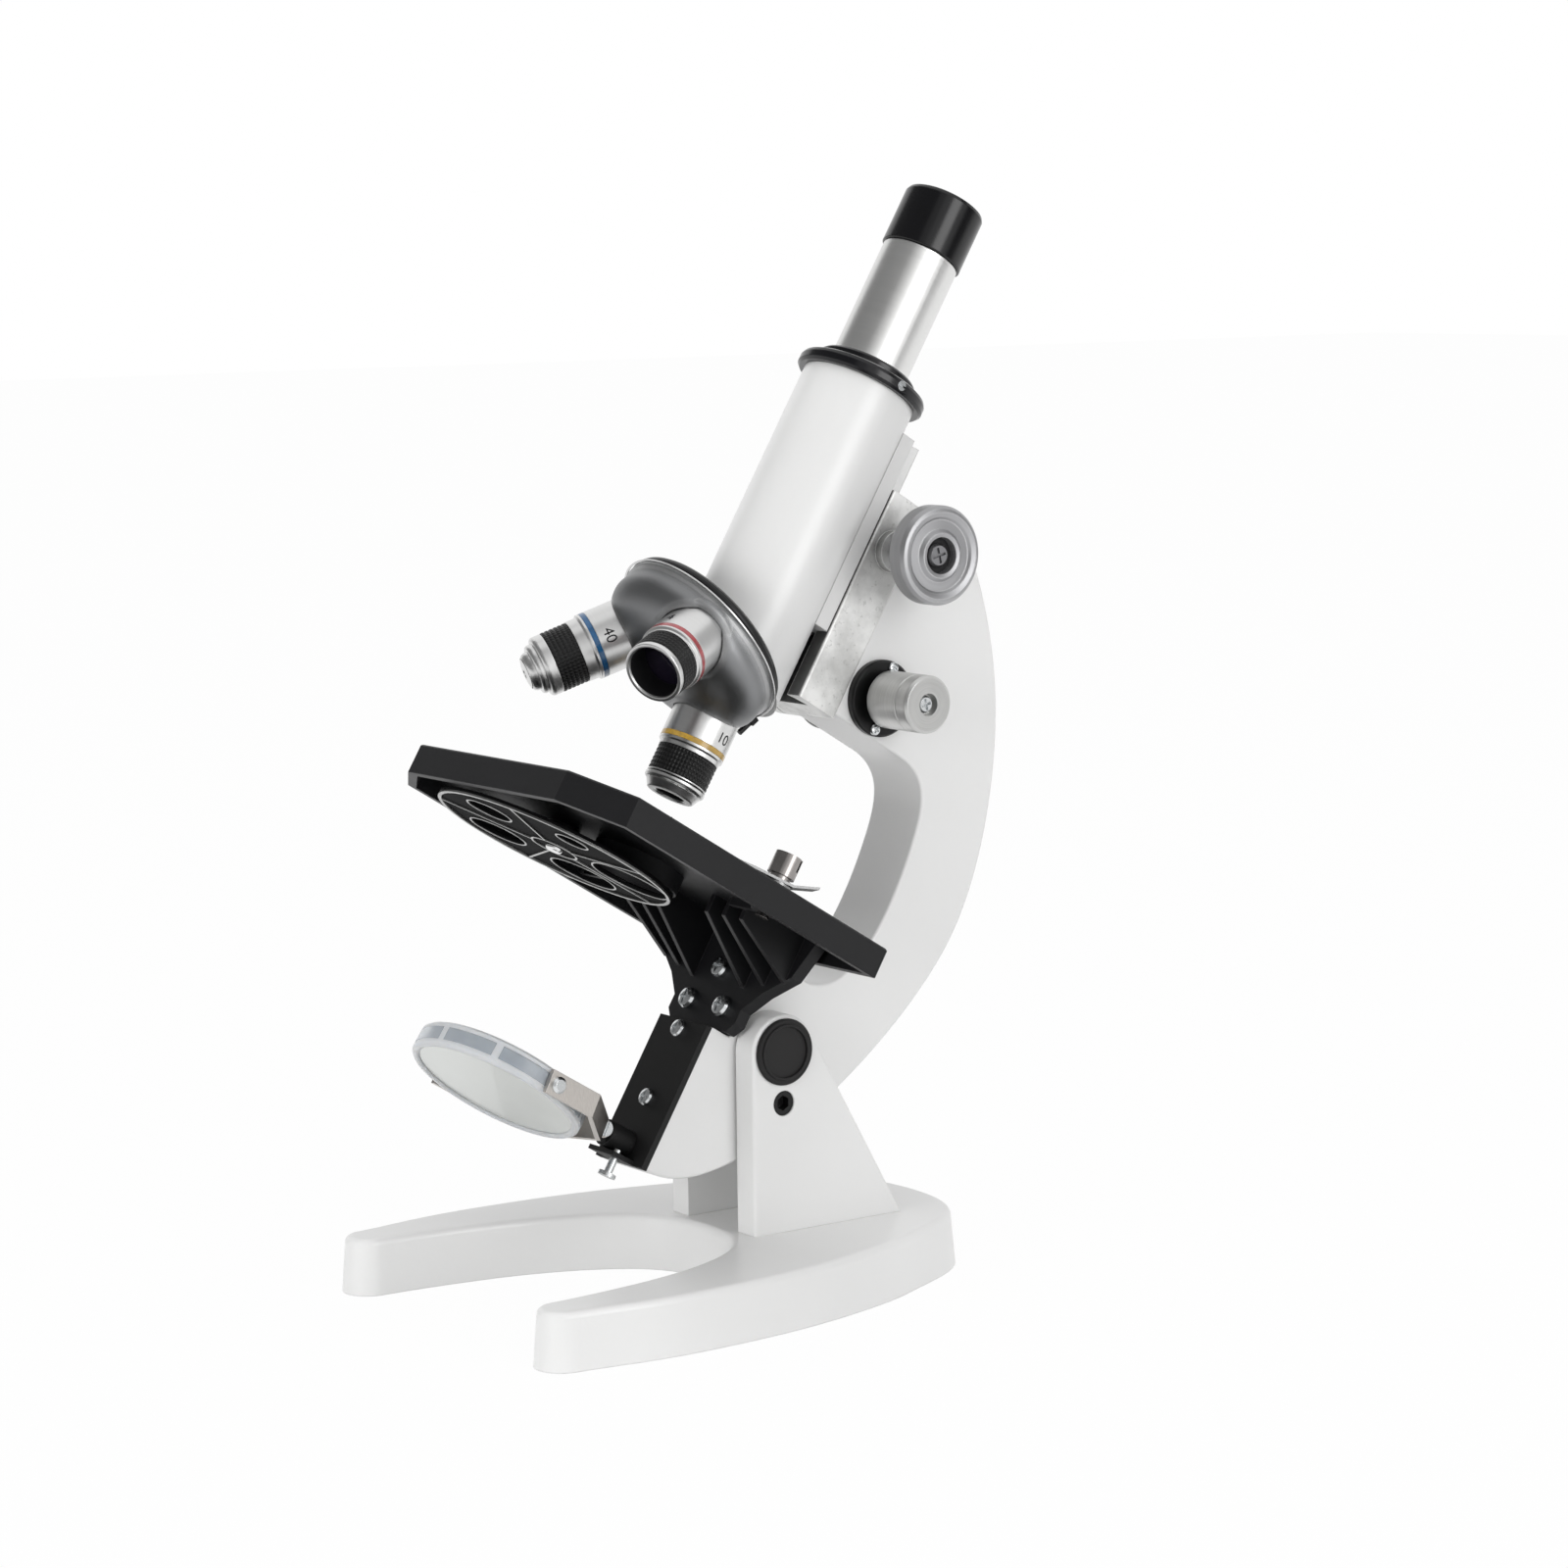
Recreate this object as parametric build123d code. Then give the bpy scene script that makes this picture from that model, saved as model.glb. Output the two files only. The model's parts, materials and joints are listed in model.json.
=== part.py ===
from build123d import *
import os
from math import asin, atan2, cos, degrees, hypot, pi, radians, sin, sqrt

# Student microscope with a mirror, built from separate pieces.  Millimetres, +Z up.
# The base is drawn about its own middle.  The finished part has its origin on the table
# under the hinge, in the plane of symmetry.  -Y is the front, where the toes of the base
# point and the mirror hangs.  +Y is the back.
# The limb and all it carries are drawn upright in their own frame, with its origin on
# the hinge, and are then leaned back together by one tilt.

# ---- fits and clearances ----
running_gap = 0.06          # radial gap of a shaft that turns in its bore
slide_gap = 0.08            # gap on the faces of a dovetail slide
seat_gap = 0.05             # gap where a round piece is seated in another
free_gap = 0.3              # gap between moving pieces that never touch

# ---- base and pillars ----
base_height = 16.7
base_front = -85.6          # tips of the toes
base_back = 84.3
base_stations = (-78.7, -54.0, -27.0, 0.0, 22.5, 45.0)       # along Y
base_half_widths = (59.3, 62.6, 62.9, 60.3, 55.3, 47.2)      # outside edge at the top
toe_stations = (-78.7, -54.0, -27.0, -8.0)                   # along Y
toe_inside = (45.6, 43.7, 38.1, 29.2)                        # inside edge at the top
throat_back = 5.5           # deepest point of the opening between the toes
base_tail = (0.6, 8.43)     # point of the round tail: share of the last half width, depth before the back
base_draft = 1.3            # how far the sides flare out at the bottom
base_round = 2.0
pillar_thickness = 8.6
hinge_gap = 0.8             # between the limb and each pillar, filled by a washer
pillar_front = 8.8
pillar_foot_back = 62.8
pillar_round = 0.9
hinge_y = 19.8
hinge_z = 70.7
hinge_shaft_radius = 5.0
washer_radius = 9.0
cap_radius = 9.9
cap_lift = 1.3              # how far a cap stands off its pillar
tension_screw_radius = 3.7
tension_screw_drop = 15.4   # below the hinge
pillar_bolt_radius = 3.0
pillar_bolt_head_radius = 5.0
pillar_bolt_head_height = 6.0
pillar_bolt_grip = 11.0     # how far a bolt goes into its pillar
pillar_bolt_stations = (24.0, 48.0)

# ---- limb ----
rest_tilt = 31.4            # degrees that the limb leans back
limb_half_width = 12.0
limb_round = 0.8
limb_toe_z = -48.9          # lowest point of the limb
limb_front = -20.1          # front face under the hinge step
step_z = -2.8               # step under the stage bracket
bracket_seat = -13.0        # face that the stage bracket is screwed to
throat_floor = 22.9
head_underside = 96.2
head_top = 163.5
head_front = -27.0
# back edge of the limb, from its toe to its head
limb_back_edge = ((-9.0, -46.8), (7.5, -34.0), (21.5, -17.0), (31.5, 1.3), (38.9, 20.0), (44.3, 39.0),
                  (46.9, 58.0), (44.7, 80.0), (37.3, 104.0), (26.0, 126.5), (8.0, 149.0))
limb_crest = -9.0           # where the back edge meets the flat top of the head
# edge of the throat, from its floor to the underside of the head
limb_throat_edge = ((4.0, 22.9), (14.5, 29.0), (19.4, 42.0), (20.4, 58.0), (18.7, 76.0),
                    (14.0, 90.3), (2.0, 96.2))

# ---- optical axis and body tube ----
tube_standoff = 1.0         # between the tube and the front of the guide
tube_clearance = 3.3        # between the draw tube and the inside of the body tube
tube_wall = 2.4
tube_top = 186.2
collar_overhang = 2.5       # over the tube
collar_thickness = 4.3
collar_step_wall = 3.4      # of the upper step, round the draw tube
collar_step_height = 3.0
collar_plug_length = 11.0
collar_screw_radius = 1.5
draw_tube_radius = 11.8
draw_tube_wall = 0.9
draw_tube_bottom = 166.0
draw_tube_top = 231.5
eyecup_overhang = 0.65      # over the draw tube
eyecup_height = 18.6
eyepiece_barrel_length = 34.0
eyepiece_wall = 1.1
eye_lens_radius = 6.0
field_lens_radius = 8.6
field_stop_radius = 5.5

# ---- carriage, rack and guide ----
guide_thickness = 14.5
guide_bottom = 95.0
groove_mouth = 6.0          # half width of the dovetail groove at its mouth
groove_root = 8.6           # half width at its root
groove_depth = 6.6
carriage_bottom = 116.0
carriage_top = 179.5
carriage_wrap = 8.0         # the carriage ends this far behind the optical axis
carriage_screw_x = 4.5
carriage_screw_radius = 1.0
carriage_screw_head = 1.9
rack_half_width = 3.0
rack_depth = 3.2            # from the pitch line to the back of the rack
rail_relief = 1.7           # the rail stops this far short of the root of its groove
gear_module = 0.8
pinion_teeth = 10
pinion_half_width = 2.6
coarse_standoff = 6.0       # from the front of the limb's head to the coarse shaft
coarse_z = 147.5
coarse_shaft_radius = 2.6
coarse_boss_radius = 6.2
coarse_boss_length = 3.0
tongue_mouth = 5.0          # dovetail that carries the guide on the limb
tongue_root = 6.6
tongue_depth = 4.2
mechanism_half_width = 5.0  # hollow in the head for the fine motion
mechanism_back = -8.0
mechanism_bottom = 101.0
mechanism_top = 156.0

# ---- focus knobs ----
knob_reach = 24.0           # from the side of the limb to the outer faces of all four knobs
coarse_knob_radius = 14.6
coarse_knob_width = 10.5
coarse_recess_radius = 5.4
coarse_recess_depth = 3.0     # from the face of the knob to the end of its shaft
fine_y = -15.1
fine_z = 107.8
fine_shaft_radius = 2.5
fine_recess_depth = 3.0     # from the face of the knob to the end of its shaft
worm_lift = 1.0             # height of the thread on the shaft
worm_turns = 8
fine_knob_radius = 8.6
fine_knob_width = 19.0
flange_radius = 11.5
flange_thickness = 2.4
flange_screw_circle = 9.6
flange_screw_radius = 1.0
lever_pivot_z = 130.0
lever_pivot_y = -14.0
lever_pin_radius = 1.5
lever_reach = 6.2           # from the lever's pin to the tip that lifts the guide
lever_thickness = 3.0
spring_y = -19.0
spring_radius = 2.6
spring_wire = 0.5           # radius of the wire
spring_pitch = 2.4
spring_gap = 0.8            # the spring stops short of the lever, which moves

# ---- nosepiece and objectives ----
turret_tilt = 23.8          # degrees between the turning axis and the optical axis
apex_z = 127.2              # where the turning axis crosses the optical axis
plate_near = 30.2           # fixed plate, measured from the apex along the turning axis
plate_thickness = 3.2
plate_radius = 28.4
turret_radius = 28.2
turret_rim = 2.2
turret_dome = 14.5          # height of the dome over its rim
objective_count = 3
objective_seat = 47.0       # seat of an objective, from the apex along its own axis
objective_radius = 10.0
objective_thread_radius = 8.8
objective_thread_length = 5.0
socket_wall = 1.6           # of the boss round the seat of an objective
light_bore_radius = 6.5
ring_start = 58.4           # coloured ring, from the apex
ring_width = 1.6
peg_clearance = 0.8         # between the peg of the click stop and the sockets
peg_radius = 0.9
click_stop_half_width = 1.4
peg_end = 39.0
nosepiece_bolt_radius = 3.5
nosepiece_bolt_head = 6.5
# name, start and end of the gripping band, its radius, steps of the front as (radius, end), lens radius
objectives = (
    ("objective_4x", 61.8, 68.2, 9.3, ((9.1, 70.4),), 7.2),
    ("objective_10x", 62.4, 70.4, 9.2, ((9.4, 71.9), (8.2, 73.4), (7.3, 75.4)), 4.2),
    ("objective_40x", 64.4, 72.5, 9.2, ((9.1, 76.1), (7.7, 78.5), (5.4, 81.0)), 2.6),
)
objective_places = (1, 0, -1)   # thirds of a turn from the working place

# ---- stage ----
stage_top = 34.65
stage_skirt = 9.1
stage_plate = 3.4
stage_wall = 2.6
stage_half_width = 57.7
stage_front = -119.9
stage_back = -8.3
stage_chamfer_x = 18.8
stage_chamfer_y = 12.9
stage_hole_radius = 12.5
bracket_thickness = 4.0
bracket_bottom = -2.4
bracket_half_width = 17.0
bracket_shoulder = 23.5
bracket_rib_spacing = 8.6
bracket_rib_thickness = 1.8
bracket_rib_reach = 23.0
stage_screw_radius = 2.0
stage_screw_head = 3.3
stage_screw_places = ((0.0, 16.0), (-8.6, 4.6), (8.6, 4.6))   # x and z
disc_x = -16.0
disc_y = -78.0
disc_radius = 37.2
disc_thickness = 0.9
disc_stops = (23.0, 20.0, 17.0, 13.0, 9.0)      # diameters of the stops
disc_pivot_radius = 2.0
clip_x = 50.0
clip_y = -47.8
clip_thickness = 0.8
clip_lift = 0.02            # of the lowest point of a clip over the stage
clip_rise = 1.4             # of the flat part of a clip over its lowest point
clip_width = 8.0
clip_screw_radius = 2.0
clip_screw_head = 4.1
clip_screw_head_height = 7.6

# ---- mirror ----
bar_thickness = 2.0
bar_top = -3.0
bar_bottom = -49.0
bar_screw_places = (-6.1, -28.4)
bar_screw_head = 2.7
bar_screw_radius = 1.5
barrel_z = -43.2
barrel_radius = 4.0
barrel_length = 8.6
thumb_x = 3.6
thumb_radius = 1.25
pivot_radius = 1.2          # screw that the fork swings on
tongue_half = 1.6           # half thickness of the tongue between the fork's ears
tongue_height = 3.2         # radius of its round end
ear_thickness = 1.2
ear_radius = 2.8
web_standoff = 8.0          # from the end of the barrel to the web of the fork
pivot_standoff = 3.0        # from the end of the barrel to the fork's screw
fork_web = 1.4              # thickness of the fork strip
fork_height = 7.0
mirror_roll = 7.1           # degrees that the fork is turned on its barrel
mirror_pitch = 7.6          # degrees that the mirror is turned in its fork
mirror_y = -71.5
mirror_z = -44.9
mirror_radius = 26.5
mirror_height = 7.6
mirror_rim = 2.4
mirror_glass = 2.0

# ---- places worked out from the sizes above ----
pillar_outside = limb_half_width + hinge_gap + pillar_thickness
pillar_inside = limb_half_width + hinge_gap
knob_face = limb_half_width + knob_reach
guide_front = head_front - guide_thickness
tube_radius = draw_tube_radius + tube_clearance + tube_wall
coarse_y = head_front - coarse_standoff
axis_y = guide_front - tube_standoff - tube_radius
carriage_front = axis_y + carriage_wrap
collar_radius = tube_radius + collar_overhang
collar_step_radius = draw_tube_radius + collar_step_wall
eyecup_radius = draw_tube_radius + eyecup_overhang
socket_reach = (objective_seat * sin(radians(turret_tilt))
                + (objective_radius + socket_wall) * cos(radians(turret_tilt)))
peg_circle = socket_reach + peg_clearance + peg_radius
tilt_place = Location((0, hinge_y, hinge_z), (-rest_tilt, 0, 0))
apex = Vector(0, axis_y, apex_z)
turning = Vector(0, -sin(radians(turret_tilt)), -cos(radians(turret_tilt)))
turning_plane = Plane(origin=(0, axis_y, apex_z), x_dir=(1, 0, 0), z_dir=turning)
plate_far = plate_near + plate_thickness
turret_start = plate_far + free_gap
pinion_pitch_radius = gear_module * pinion_teeth / 2
rack_pitch_y = coarse_y - pinion_pitch_radius
bar_front = limb_front - bar_thickness
bracket_face = bracket_seat - bracket_thickness
stage_floor = stage_top - stage_skirt
barrel_end = bar_front - barrel_length
fork_pivot_y = barrel_end - pivot_standoff
eyecup_bottom = draw_tube_top
carriage_screw_seat = axis_y + sqrt((tube_radius - tube_wall) ** 2 - carriage_screw_x ** 2)
standing = (Align.CENTER, Align.CENTER, Align.MIN)      # a cylinder that stands on its start


def save(name, *solids):
    """Write the solids of one node, with the origin moved under the hinge."""
    solids = [Pos(0, -hinge_y, 0) * solid for solid in solids]
    shape = solids[0] if len(solids) == 1 else Compound(children=list(solids))
    export_step(shape, f"parts/{name}.step")


def save_leaned(name, *solids):
    """Write one node of the limb, leaned back about the hinge."""
    save(name, *[tilt_place * solid for solid in solids])


def rod(radius, start, end):
    """A round bar from one point to another."""
    start, end = Vector(*start), Vector(*end)
    along = end - start
    bar = Cylinder(radius, along.length, align=standing)
    return Plane(origin=start, z_dir=along) * bar


def rod_x(radius, x_from, x_to, y, z):
    return rod(radius, (x_from, y, z), (x_to, y, z))


def rod_y(radius, y_from, y_to, x, z):
    return rod(radius, (x, y_from, z), (x, y_to, z))


def rod_z(radius, z_from, z_to, x, y):
    return rod(radius, (x, y, z_from), (x, y, z_to))


def block(x_range, y_range, z_range):
    """A box between limits on each axis."""
    size = [high - low for low, high in (x_range, y_range, z_range)]
    middle = [(high + low) / 2 for low, high in (x_range, y_range, z_range)]
    return Pos(*middle) * Box(*size)


def turned(points, plane=Plane.XZ):
    """A solid of revolution about the plane's Y direction, from (radius, height) points."""
    return revolve(plane * make_face(Polyline(*points, close=True)), axis=Axis(plane.origin, plane.y_dir))


def turned_at(points, origin, direction):
    """A solid of revolution about a line, from (radius, distance along it) points."""
    direction = Vector(*direction).normalized()
    across = Vector(1, 0, 0) if abs(direction.X) < 0.9 else Vector(0, 1, 0)
    across = (across - direction * across.dot(direction)).normalized()
    plane = Plane(origin=origin, x_dir=across, z_dir=across.cross(direction))
    return turned(points, plane)


def side_profile(face_points_on_yz, half_width):
    """A plate whose outline lies in the YZ plane, as wide as twice half_width."""
    return extrude(Plane.YZ * face_points_on_yz, half_width, both=True)


def mirrored(solid):
    return mirror(solid, about=Plane.YZ)


# ---------------------------------------------------------------- base and pillars
def base_outline(grow):
    """The horseshoe seen from above, with its sides moved out by grow."""
    toe_middle = (base_half_widths[0] + toe_inside[0]) / 2
    outside = [(half + grow, y) for y, half in zip(base_stations, base_half_widths)]
    inside = [(half - grow, y) for y, half in zip(toe_stations, toe_inside)]
    tip = (toe_middle, base_front - grow)
    back = (0, base_back + grow)
    throat = (0, throat_back + grow)
    flank = Spline(*outside, tangents=((0.1, 1), (-0.5, 1)))
    tail_share, tail_depth = base_tail
    rear = Spline(outside[-1], (outside[-1][0] * tail_share, base_back - tail_depth + grow), back,
                  tangents=((-0.5, 1), (-1, 0)))
    nose = ThreePointArc(outside[0], tip, inside[0])
    hollow = Spline(*inside, throat, tangents=((-0.02, 1), (-1, 0)))
    half = nose + flank + rear + hollow
    return make_face(half + mirror(half, about=Plane.YZ))


def make_base():
    body = loft([Pos(0, 0, 0) * base_outline(base_draft), Pos(0, 0, base_height) * base_outline(0)])
    body = fillet(body.edges().group_by(Axis.Z)[-1], base_round)
    for side in (-1, 1):
        x = side * (pillar_outside - pillar_thickness / 2)
        for y in pillar_bolt_stations:
            body -= rod_z(pillar_bolt_radius + seat_gap, 0, base_height, x, y)
            body -= rod_z(pillar_bolt_head_radius + free_gap, 0, pillar_bolt_head_height + free_gap, x, y)
    return body


def make_pillar():
    """The right pillar: a triangular cheek with a round head on the hinge."""
    round_radius = hinge_y - pillar_front
    run = pillar_foot_back - hinge_y
    rise = hinge_z - base_height
    slope = atan2(rise, run) + asin(round_radius / hypot(run, rise))
    shoulder = (hinge_y + round_radius * sin(slope), hinge_z + round_radius * cos(slope))
    outline = [
        Line((pillar_front, base_height), (pillar_front, hinge_z)),
        ThreePointArc((pillar_front, hinge_z), (hinge_y, hinge_z + round_radius), shoulder),
        Line(shoulder, (pillar_foot_back, base_height)),
        Line((pillar_foot_back, base_height), (pillar_front, base_height)),
    ]
    cheek = Pos(pillar_inside, 0, 0) * extrude(Plane.YZ * make_face(Wire(outline)), pillar_thickness)
    rims = [edge for edge in cheek.edges().group_by(Axis.X)[-1] if edge.center().Z > base_height + 1]
    cheek = fillet(rims, pillar_round)
    cheek -= rod_x(hinge_shaft_radius + running_gap, pillar_inside, pillar_outside, hinge_y, hinge_z)
    cheek -= rod_x(tension_screw_radius + seat_gap, pillar_inside, pillar_outside, hinge_y,
                   hinge_z - tension_screw_drop)
    for y in pillar_bolt_stations:
        depth = base_height + pillar_bolt_grip
        cheek -= rod_z(pillar_bolt_radius + seat_gap, base_height, depth + 1,
                       pillar_inside + pillar_thickness / 2, y)
    return cheek


def make_pillar_bolts():
    bolts = []
    for side in (-1, 1):
        x = side * (pillar_outside - pillar_thickness / 2)
        for y in pillar_bolt_stations:
            bolt = rod_z(pillar_bolt_radius, free_gap, base_height + pillar_bolt_grip, x, y)
            bolt += rod_z(pillar_bolt_head_radius, free_gap, pillar_bolt_head_height, x, y)
            bolt -= Pos(x, y, 0) * extrude(RegularPolygon(2.9, 6), 4)
            bolts.append(bolt)
    return bolts


def make_pivot_cap():
    """A round cap with a shallow dish, stuck over the end of the hinge shaft."""
    r, h = cap_radius, cap_lift
    profile = ((0, 0), (r - 0.3, 0), (r, 0.3), (r, h - 0.5), (r - 0.5, h), (r - 1.7, h),
               (r - 2.1, h - 0.3), (0, h - 0.3))
    return turned_at(profile, (pillar_outside, hinge_y, hinge_z), (1, 0, 0))


def make_tension_screw():
    """A socket screw that presses the limb from the side and stops it from falling."""
    z = hinge_z - tension_screw_drop
    screw = rod_x(tension_screw_radius, limb_half_width, pillar_outside - 0.5, hinge_y, z)
    socket = Pos(pillar_outside - 3.5, hinge_y, z) * Rot(0, 90, 0) * extrude(RegularPolygon(2.3, 6), 3.5)
    return screw - socket


def make_hinge_washer():
    """A thrust washer in the gap between limb and pillar."""
    washer = rod_x(washer_radius, limb_half_width, pillar_inside, hinge_y, hinge_z)
    return washer - rod_x(hinge_shaft_radius + running_gap, 0, 40, hinge_y, hinge_z)


# ---------------------------------------------------------------- limb
def make_limb():
    """The curved limb, with a hollow in its head for the fine motion."""
    toe = (limb_front, limb_toe_z)
    floor_end = limb_throat_edge[0]
    throat_end = limb_throat_edge[-1]
    crest = (limb_crest, head_top)
    outline = [
        Line((limb_front, step_z), toe),
        Spline(toe, *limb_back_edge, crest),
        Line(crest, (head_front, head_top)),
        Line((head_front, head_top), (head_front, head_underside)),
        Line((head_front, head_underside), throat_end),
        Spline(*reversed(limb_throat_edge)),
        Line(floor_end, (bracket_seat, throat_floor)),
        Line((bracket_seat, throat_floor), (bracket_seat, step_z)),
        Line((bracket_seat, step_z), (limb_front, step_z)),
    ]
    limb = side_profile(make_face(Wire(outline)), limb_half_width)
    curved_rims = [edge for side in (0, -1) for edge in limb.edges().group_by(Axis.X)[side]
                   if edge.geom_type == GeomType.BSPLINE]
    limb = fillet(curved_rims, limb_round)
    limb -= rod_x(hinge_shaft_radius + running_gap, -limb_half_width, limb_half_width, 0, 0)
    # groove for the tongue of the guide, and the hollow behind it
    limb -= dovetail(tongue_mouth + slide_gap, tongue_root + slide_gap, head_front,
                     head_front + tongue_depth + slide_gap, head_underside - 5, head_top + 1)
    limb -= block((-mechanism_half_width, mechanism_half_width), (head_front + 1, mechanism_back),
                  (mechanism_bottom, mechanism_top))
    limb -= rod_x(fine_shaft_radius + running_gap, -limb_half_width, limb_half_width, fine_y, fine_z)
    limb -= rod_x(lever_pin_radius + seat_gap, -limb_half_width + 3, limb_half_width - 3,
                  lever_pivot_y, lever_pivot_z)
    for x, z in stage_screw_places:
        limb -= rod_y(stage_screw_radius + seat_gap, bracket_seat, bracket_seat + 9, x, z)
    for z in bar_screw_places:
        limb -= rod_y(bar_screw_radius + seat_gap, limb_front, limb_front + 8, 0, z)
    for side in (-1, 1):
        for x, y, z in flange_screw_spots(side):
            limb -= rod_x(flange_screw_radius + seat_gap, x - side * 5, x, y, z)
    return limb


def dovetail(mouth, root, y_mouth, y_root, z_from, z_to):
    """A straight dovetail, as wide as mouth and root at its two depths."""
    outline = Polyline((-mouth, y_mouth), (mouth, y_mouth), (root, y_root), (-root, y_root), close=True)
    return Pos(0, 0, z_from) * extrude(make_face(outline), z_to - z_from)


# ---------------------------------------------------------------- guide, carriage, rack and pinion
def make_guide():
    """The cast block that slides on the limb and carries the pinion."""
    guide = block((-limb_half_width, limb_half_width), (guide_front, head_front),
                  (guide_bottom, head_top))
    guide = fillet(guide.edges().filter_by(Axis.Z).group_by(Axis.Y)[0], 0.8)
    guide += dovetail(tongue_mouth, tongue_root, head_front - 0.01, head_front + tongue_depth,
                      head_underside, head_top)
    for side in (-1, 1):
        x = side * limb_half_width
        guide += rod_x(coarse_boss_radius, x, x + side * coarse_boss_length, coarse_y, coarse_z)
    guide -= dovetail(groove_mouth, groove_root, guide_front, guide_front + groove_depth, 0, 200)
    guide -= rod_x(coarse_shaft_radius + running_gap, -30, 30, coarse_y, coarse_z)
    pocket = pinion_pitch_radius + gear_module + 0.5
    guide -= rod_x(pocket, -pinion_half_width - 0.5, pinion_half_width + 0.5, coarse_y, coarse_z)
    # slot in the tongue that the tip of the lever lifts by
    guide -= block((-lever_thickness / 2 - free_gap, lever_thickness / 2 + free_gap),
                   (head_front - 1, head_front + tongue_depth + 1),
                   (lever_pivot_z - 1.5 - free_gap, lever_pivot_z + 1.5 + free_gap))
    return guide


def make_carriage():
    """The slide that holds the tube: a saddle round it and a dovetail in the guide."""
    back = guide_front - free_gap
    saddle = block((-limb_half_width, limb_half_width), (carriage_front, back),
                   (carriage_bottom, carriage_top))
    saddle = fillet(saddle.edges().filter_by(Axis.Z).group_by(Axis.Y)[-1], 0.8)
    rail_front, rail_back = back - 0.5, guide_front + groove_depth - rail_relief
    rail = dovetail(groove_half(rail_front) - 1.2 * slide_gap, groove_half(rail_back) - 1.2 * slide_gap,
                    rail_front, rail_back, carriage_bottom, carriage_top)
    slide = saddle + rail
    slide -= rod_z(tube_radius + seat_gap, 0, 300, 0, axis_y)
    root = guide_front + groove_depth
    slide -= block((-rack_half_width - seat_gap, rack_half_width + seat_gap),
                   (rack_pitch_y - rack_depth, root + 1), (carriage_bottom - 1, carriage_top + 1))
    for x, z in carriage_screw_places():
        slide -= rod_y(carriage_screw_radius + seat_gap, axis_y, root, x, z)
    return slide


def groove_half(y):
    """Half width of the guide's dovetail groove at a depth."""
    return groove_mouth + (y - guide_front) * (groove_root - groove_mouth) / groove_depth


def make_rack():
    """A straight rack with slack in its teeth, facing the pinion."""
    pitch = pi * gear_module
    tip = rack_pitch_y + 0.75 * gear_module
    root = rack_pitch_y - 1.15 * gear_module
    back = rack_pitch_y - rack_depth
    rack = block((-rack_half_width, rack_half_width), (back, root), (carriage_bottom, carriage_top))
    # a gap of the rack stands level with the pinion, where one of its teeth points
    count_up = int((carriage_top - 1 - coarse_z) / pitch)
    count_down = int((coarse_z - carriage_bottom - 1) / pitch)
    teeth = []
    for step in range(-count_down, count_up):
        z = coarse_z + (step + 0.5) * pitch
        outline = Polyline((root - 0.1, z - 0.36 * pitch), (tip, z - 0.11 * pitch),
                           (tip, z + 0.11 * pitch), (root - 0.1, z + 0.36 * pitch), close=True)
        teeth.append(side_profile(make_face(outline), rack_half_width))
    return rack + teeth


def make_coarse_shaft():
    """The cross shaft with its pinion cut in one piece."""
    reach = knob_face - coarse_recess_depth
    shaft = rod_x(coarse_shaft_radius, -reach, reach, coarse_y, coarse_z)
    pitch_angle = 360 / pinion_teeth
    root = pinion_pitch_radius - 1.15 * gear_module
    tip = pinion_pitch_radius + 0.75 * gear_module
    gear = rod_x(root, -pinion_half_width, pinion_half_width, coarse_y, coarse_z)
    half_root, half_tip = 0.925 * gear_module, 0.35 * gear_module
    for tooth in range(pinion_teeth):
        outline = Polyline((-root + 0.4, -half_root), (-root, -half_root), (-tip, -half_tip),
                           (-tip, half_tip), (-root, half_root), (-root + 0.4, half_root), close=True)
        one = side_profile(make_face(outline), pinion_half_width)
        gear += Pos(0, coarse_y, coarse_z) * Rot(tooth * pitch_angle, 0, 0) * one
    return shaft + gear


def make_coarse_knob(side):
    """A stepped knob with a rolled rim and a deep recess for its screw."""
    r, width = coarse_knob_radius, coarse_knob_width
    bore = coarse_shaft_radius + seat_gap
    recess, floor = coarse_recess_radius, width - coarse_recess_depth
    hub = recess
    profile = ((bore, 0), (hub, 0), (hub, 3.0), (r - 1.2, 3.4), (r, 4.2), (r, width - 1.5),
               (r - 0.9, width - 0.4), (r - 1.9, width - 0.1), (r - 3.3, width - 0.6),
               (r - 4.1, width - 1.4), (recess + 2.4, width - 1.2), (recess + 1.2, width),
               (recess, width - 0.3), (recess, floor), (bore, floor))
    return turned_at(profile, (side * (knob_face - width), coarse_y, coarse_z), (side, 0, 0))


def pan_screw(head_radius, head_height, shank_radius, length, origin, direction, slot="cross"):
    """A screw whose head sits on origin and stands off against direction."""
    direction = Vector(*direction).normalized()
    h = head_height
    profile = ((0, length), (shank_radius, length), (shank_radius, 0), (head_radius, 0),
               (head_radius, -0.5 * h), (head_radius * 0.86, -0.85 * h), (head_radius * 0.5, -h), (0, -h))
    screw = turned_at(profile, origin, direction)
    plane = Plane(origin=Vector(*origin) - direction * h, z_dir=direction)
    wide, deep = 0.26 * head_radius, 0.5 * h
    screw -= plane * Box(head_radius * (1.3 if slot == "cross" else 2.2), wide, 2 * deep)
    if slot == "cross":
        screw -= plane * Box(wide, head_radius * 1.3, 2 * deep)
    return screw


def turned_screw(side, x, y, z, head_radius, head_height):
    """The head of a knob screw, seated on the end of its shaft."""
    r, h = head_radius, head_height
    head = turned_at(((0, 0), (r, 0), (r, 0.5 * h), (r * 0.8, h), (0, h)), (side * x, y, z), (side, 0, 0))
    for across in (0, 90):
        head -= Pos(side * (x + h), y, z) * Rot(45 + across, 0, 0) * Box(h, r * 1.3, 0.8)
    return head


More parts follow.
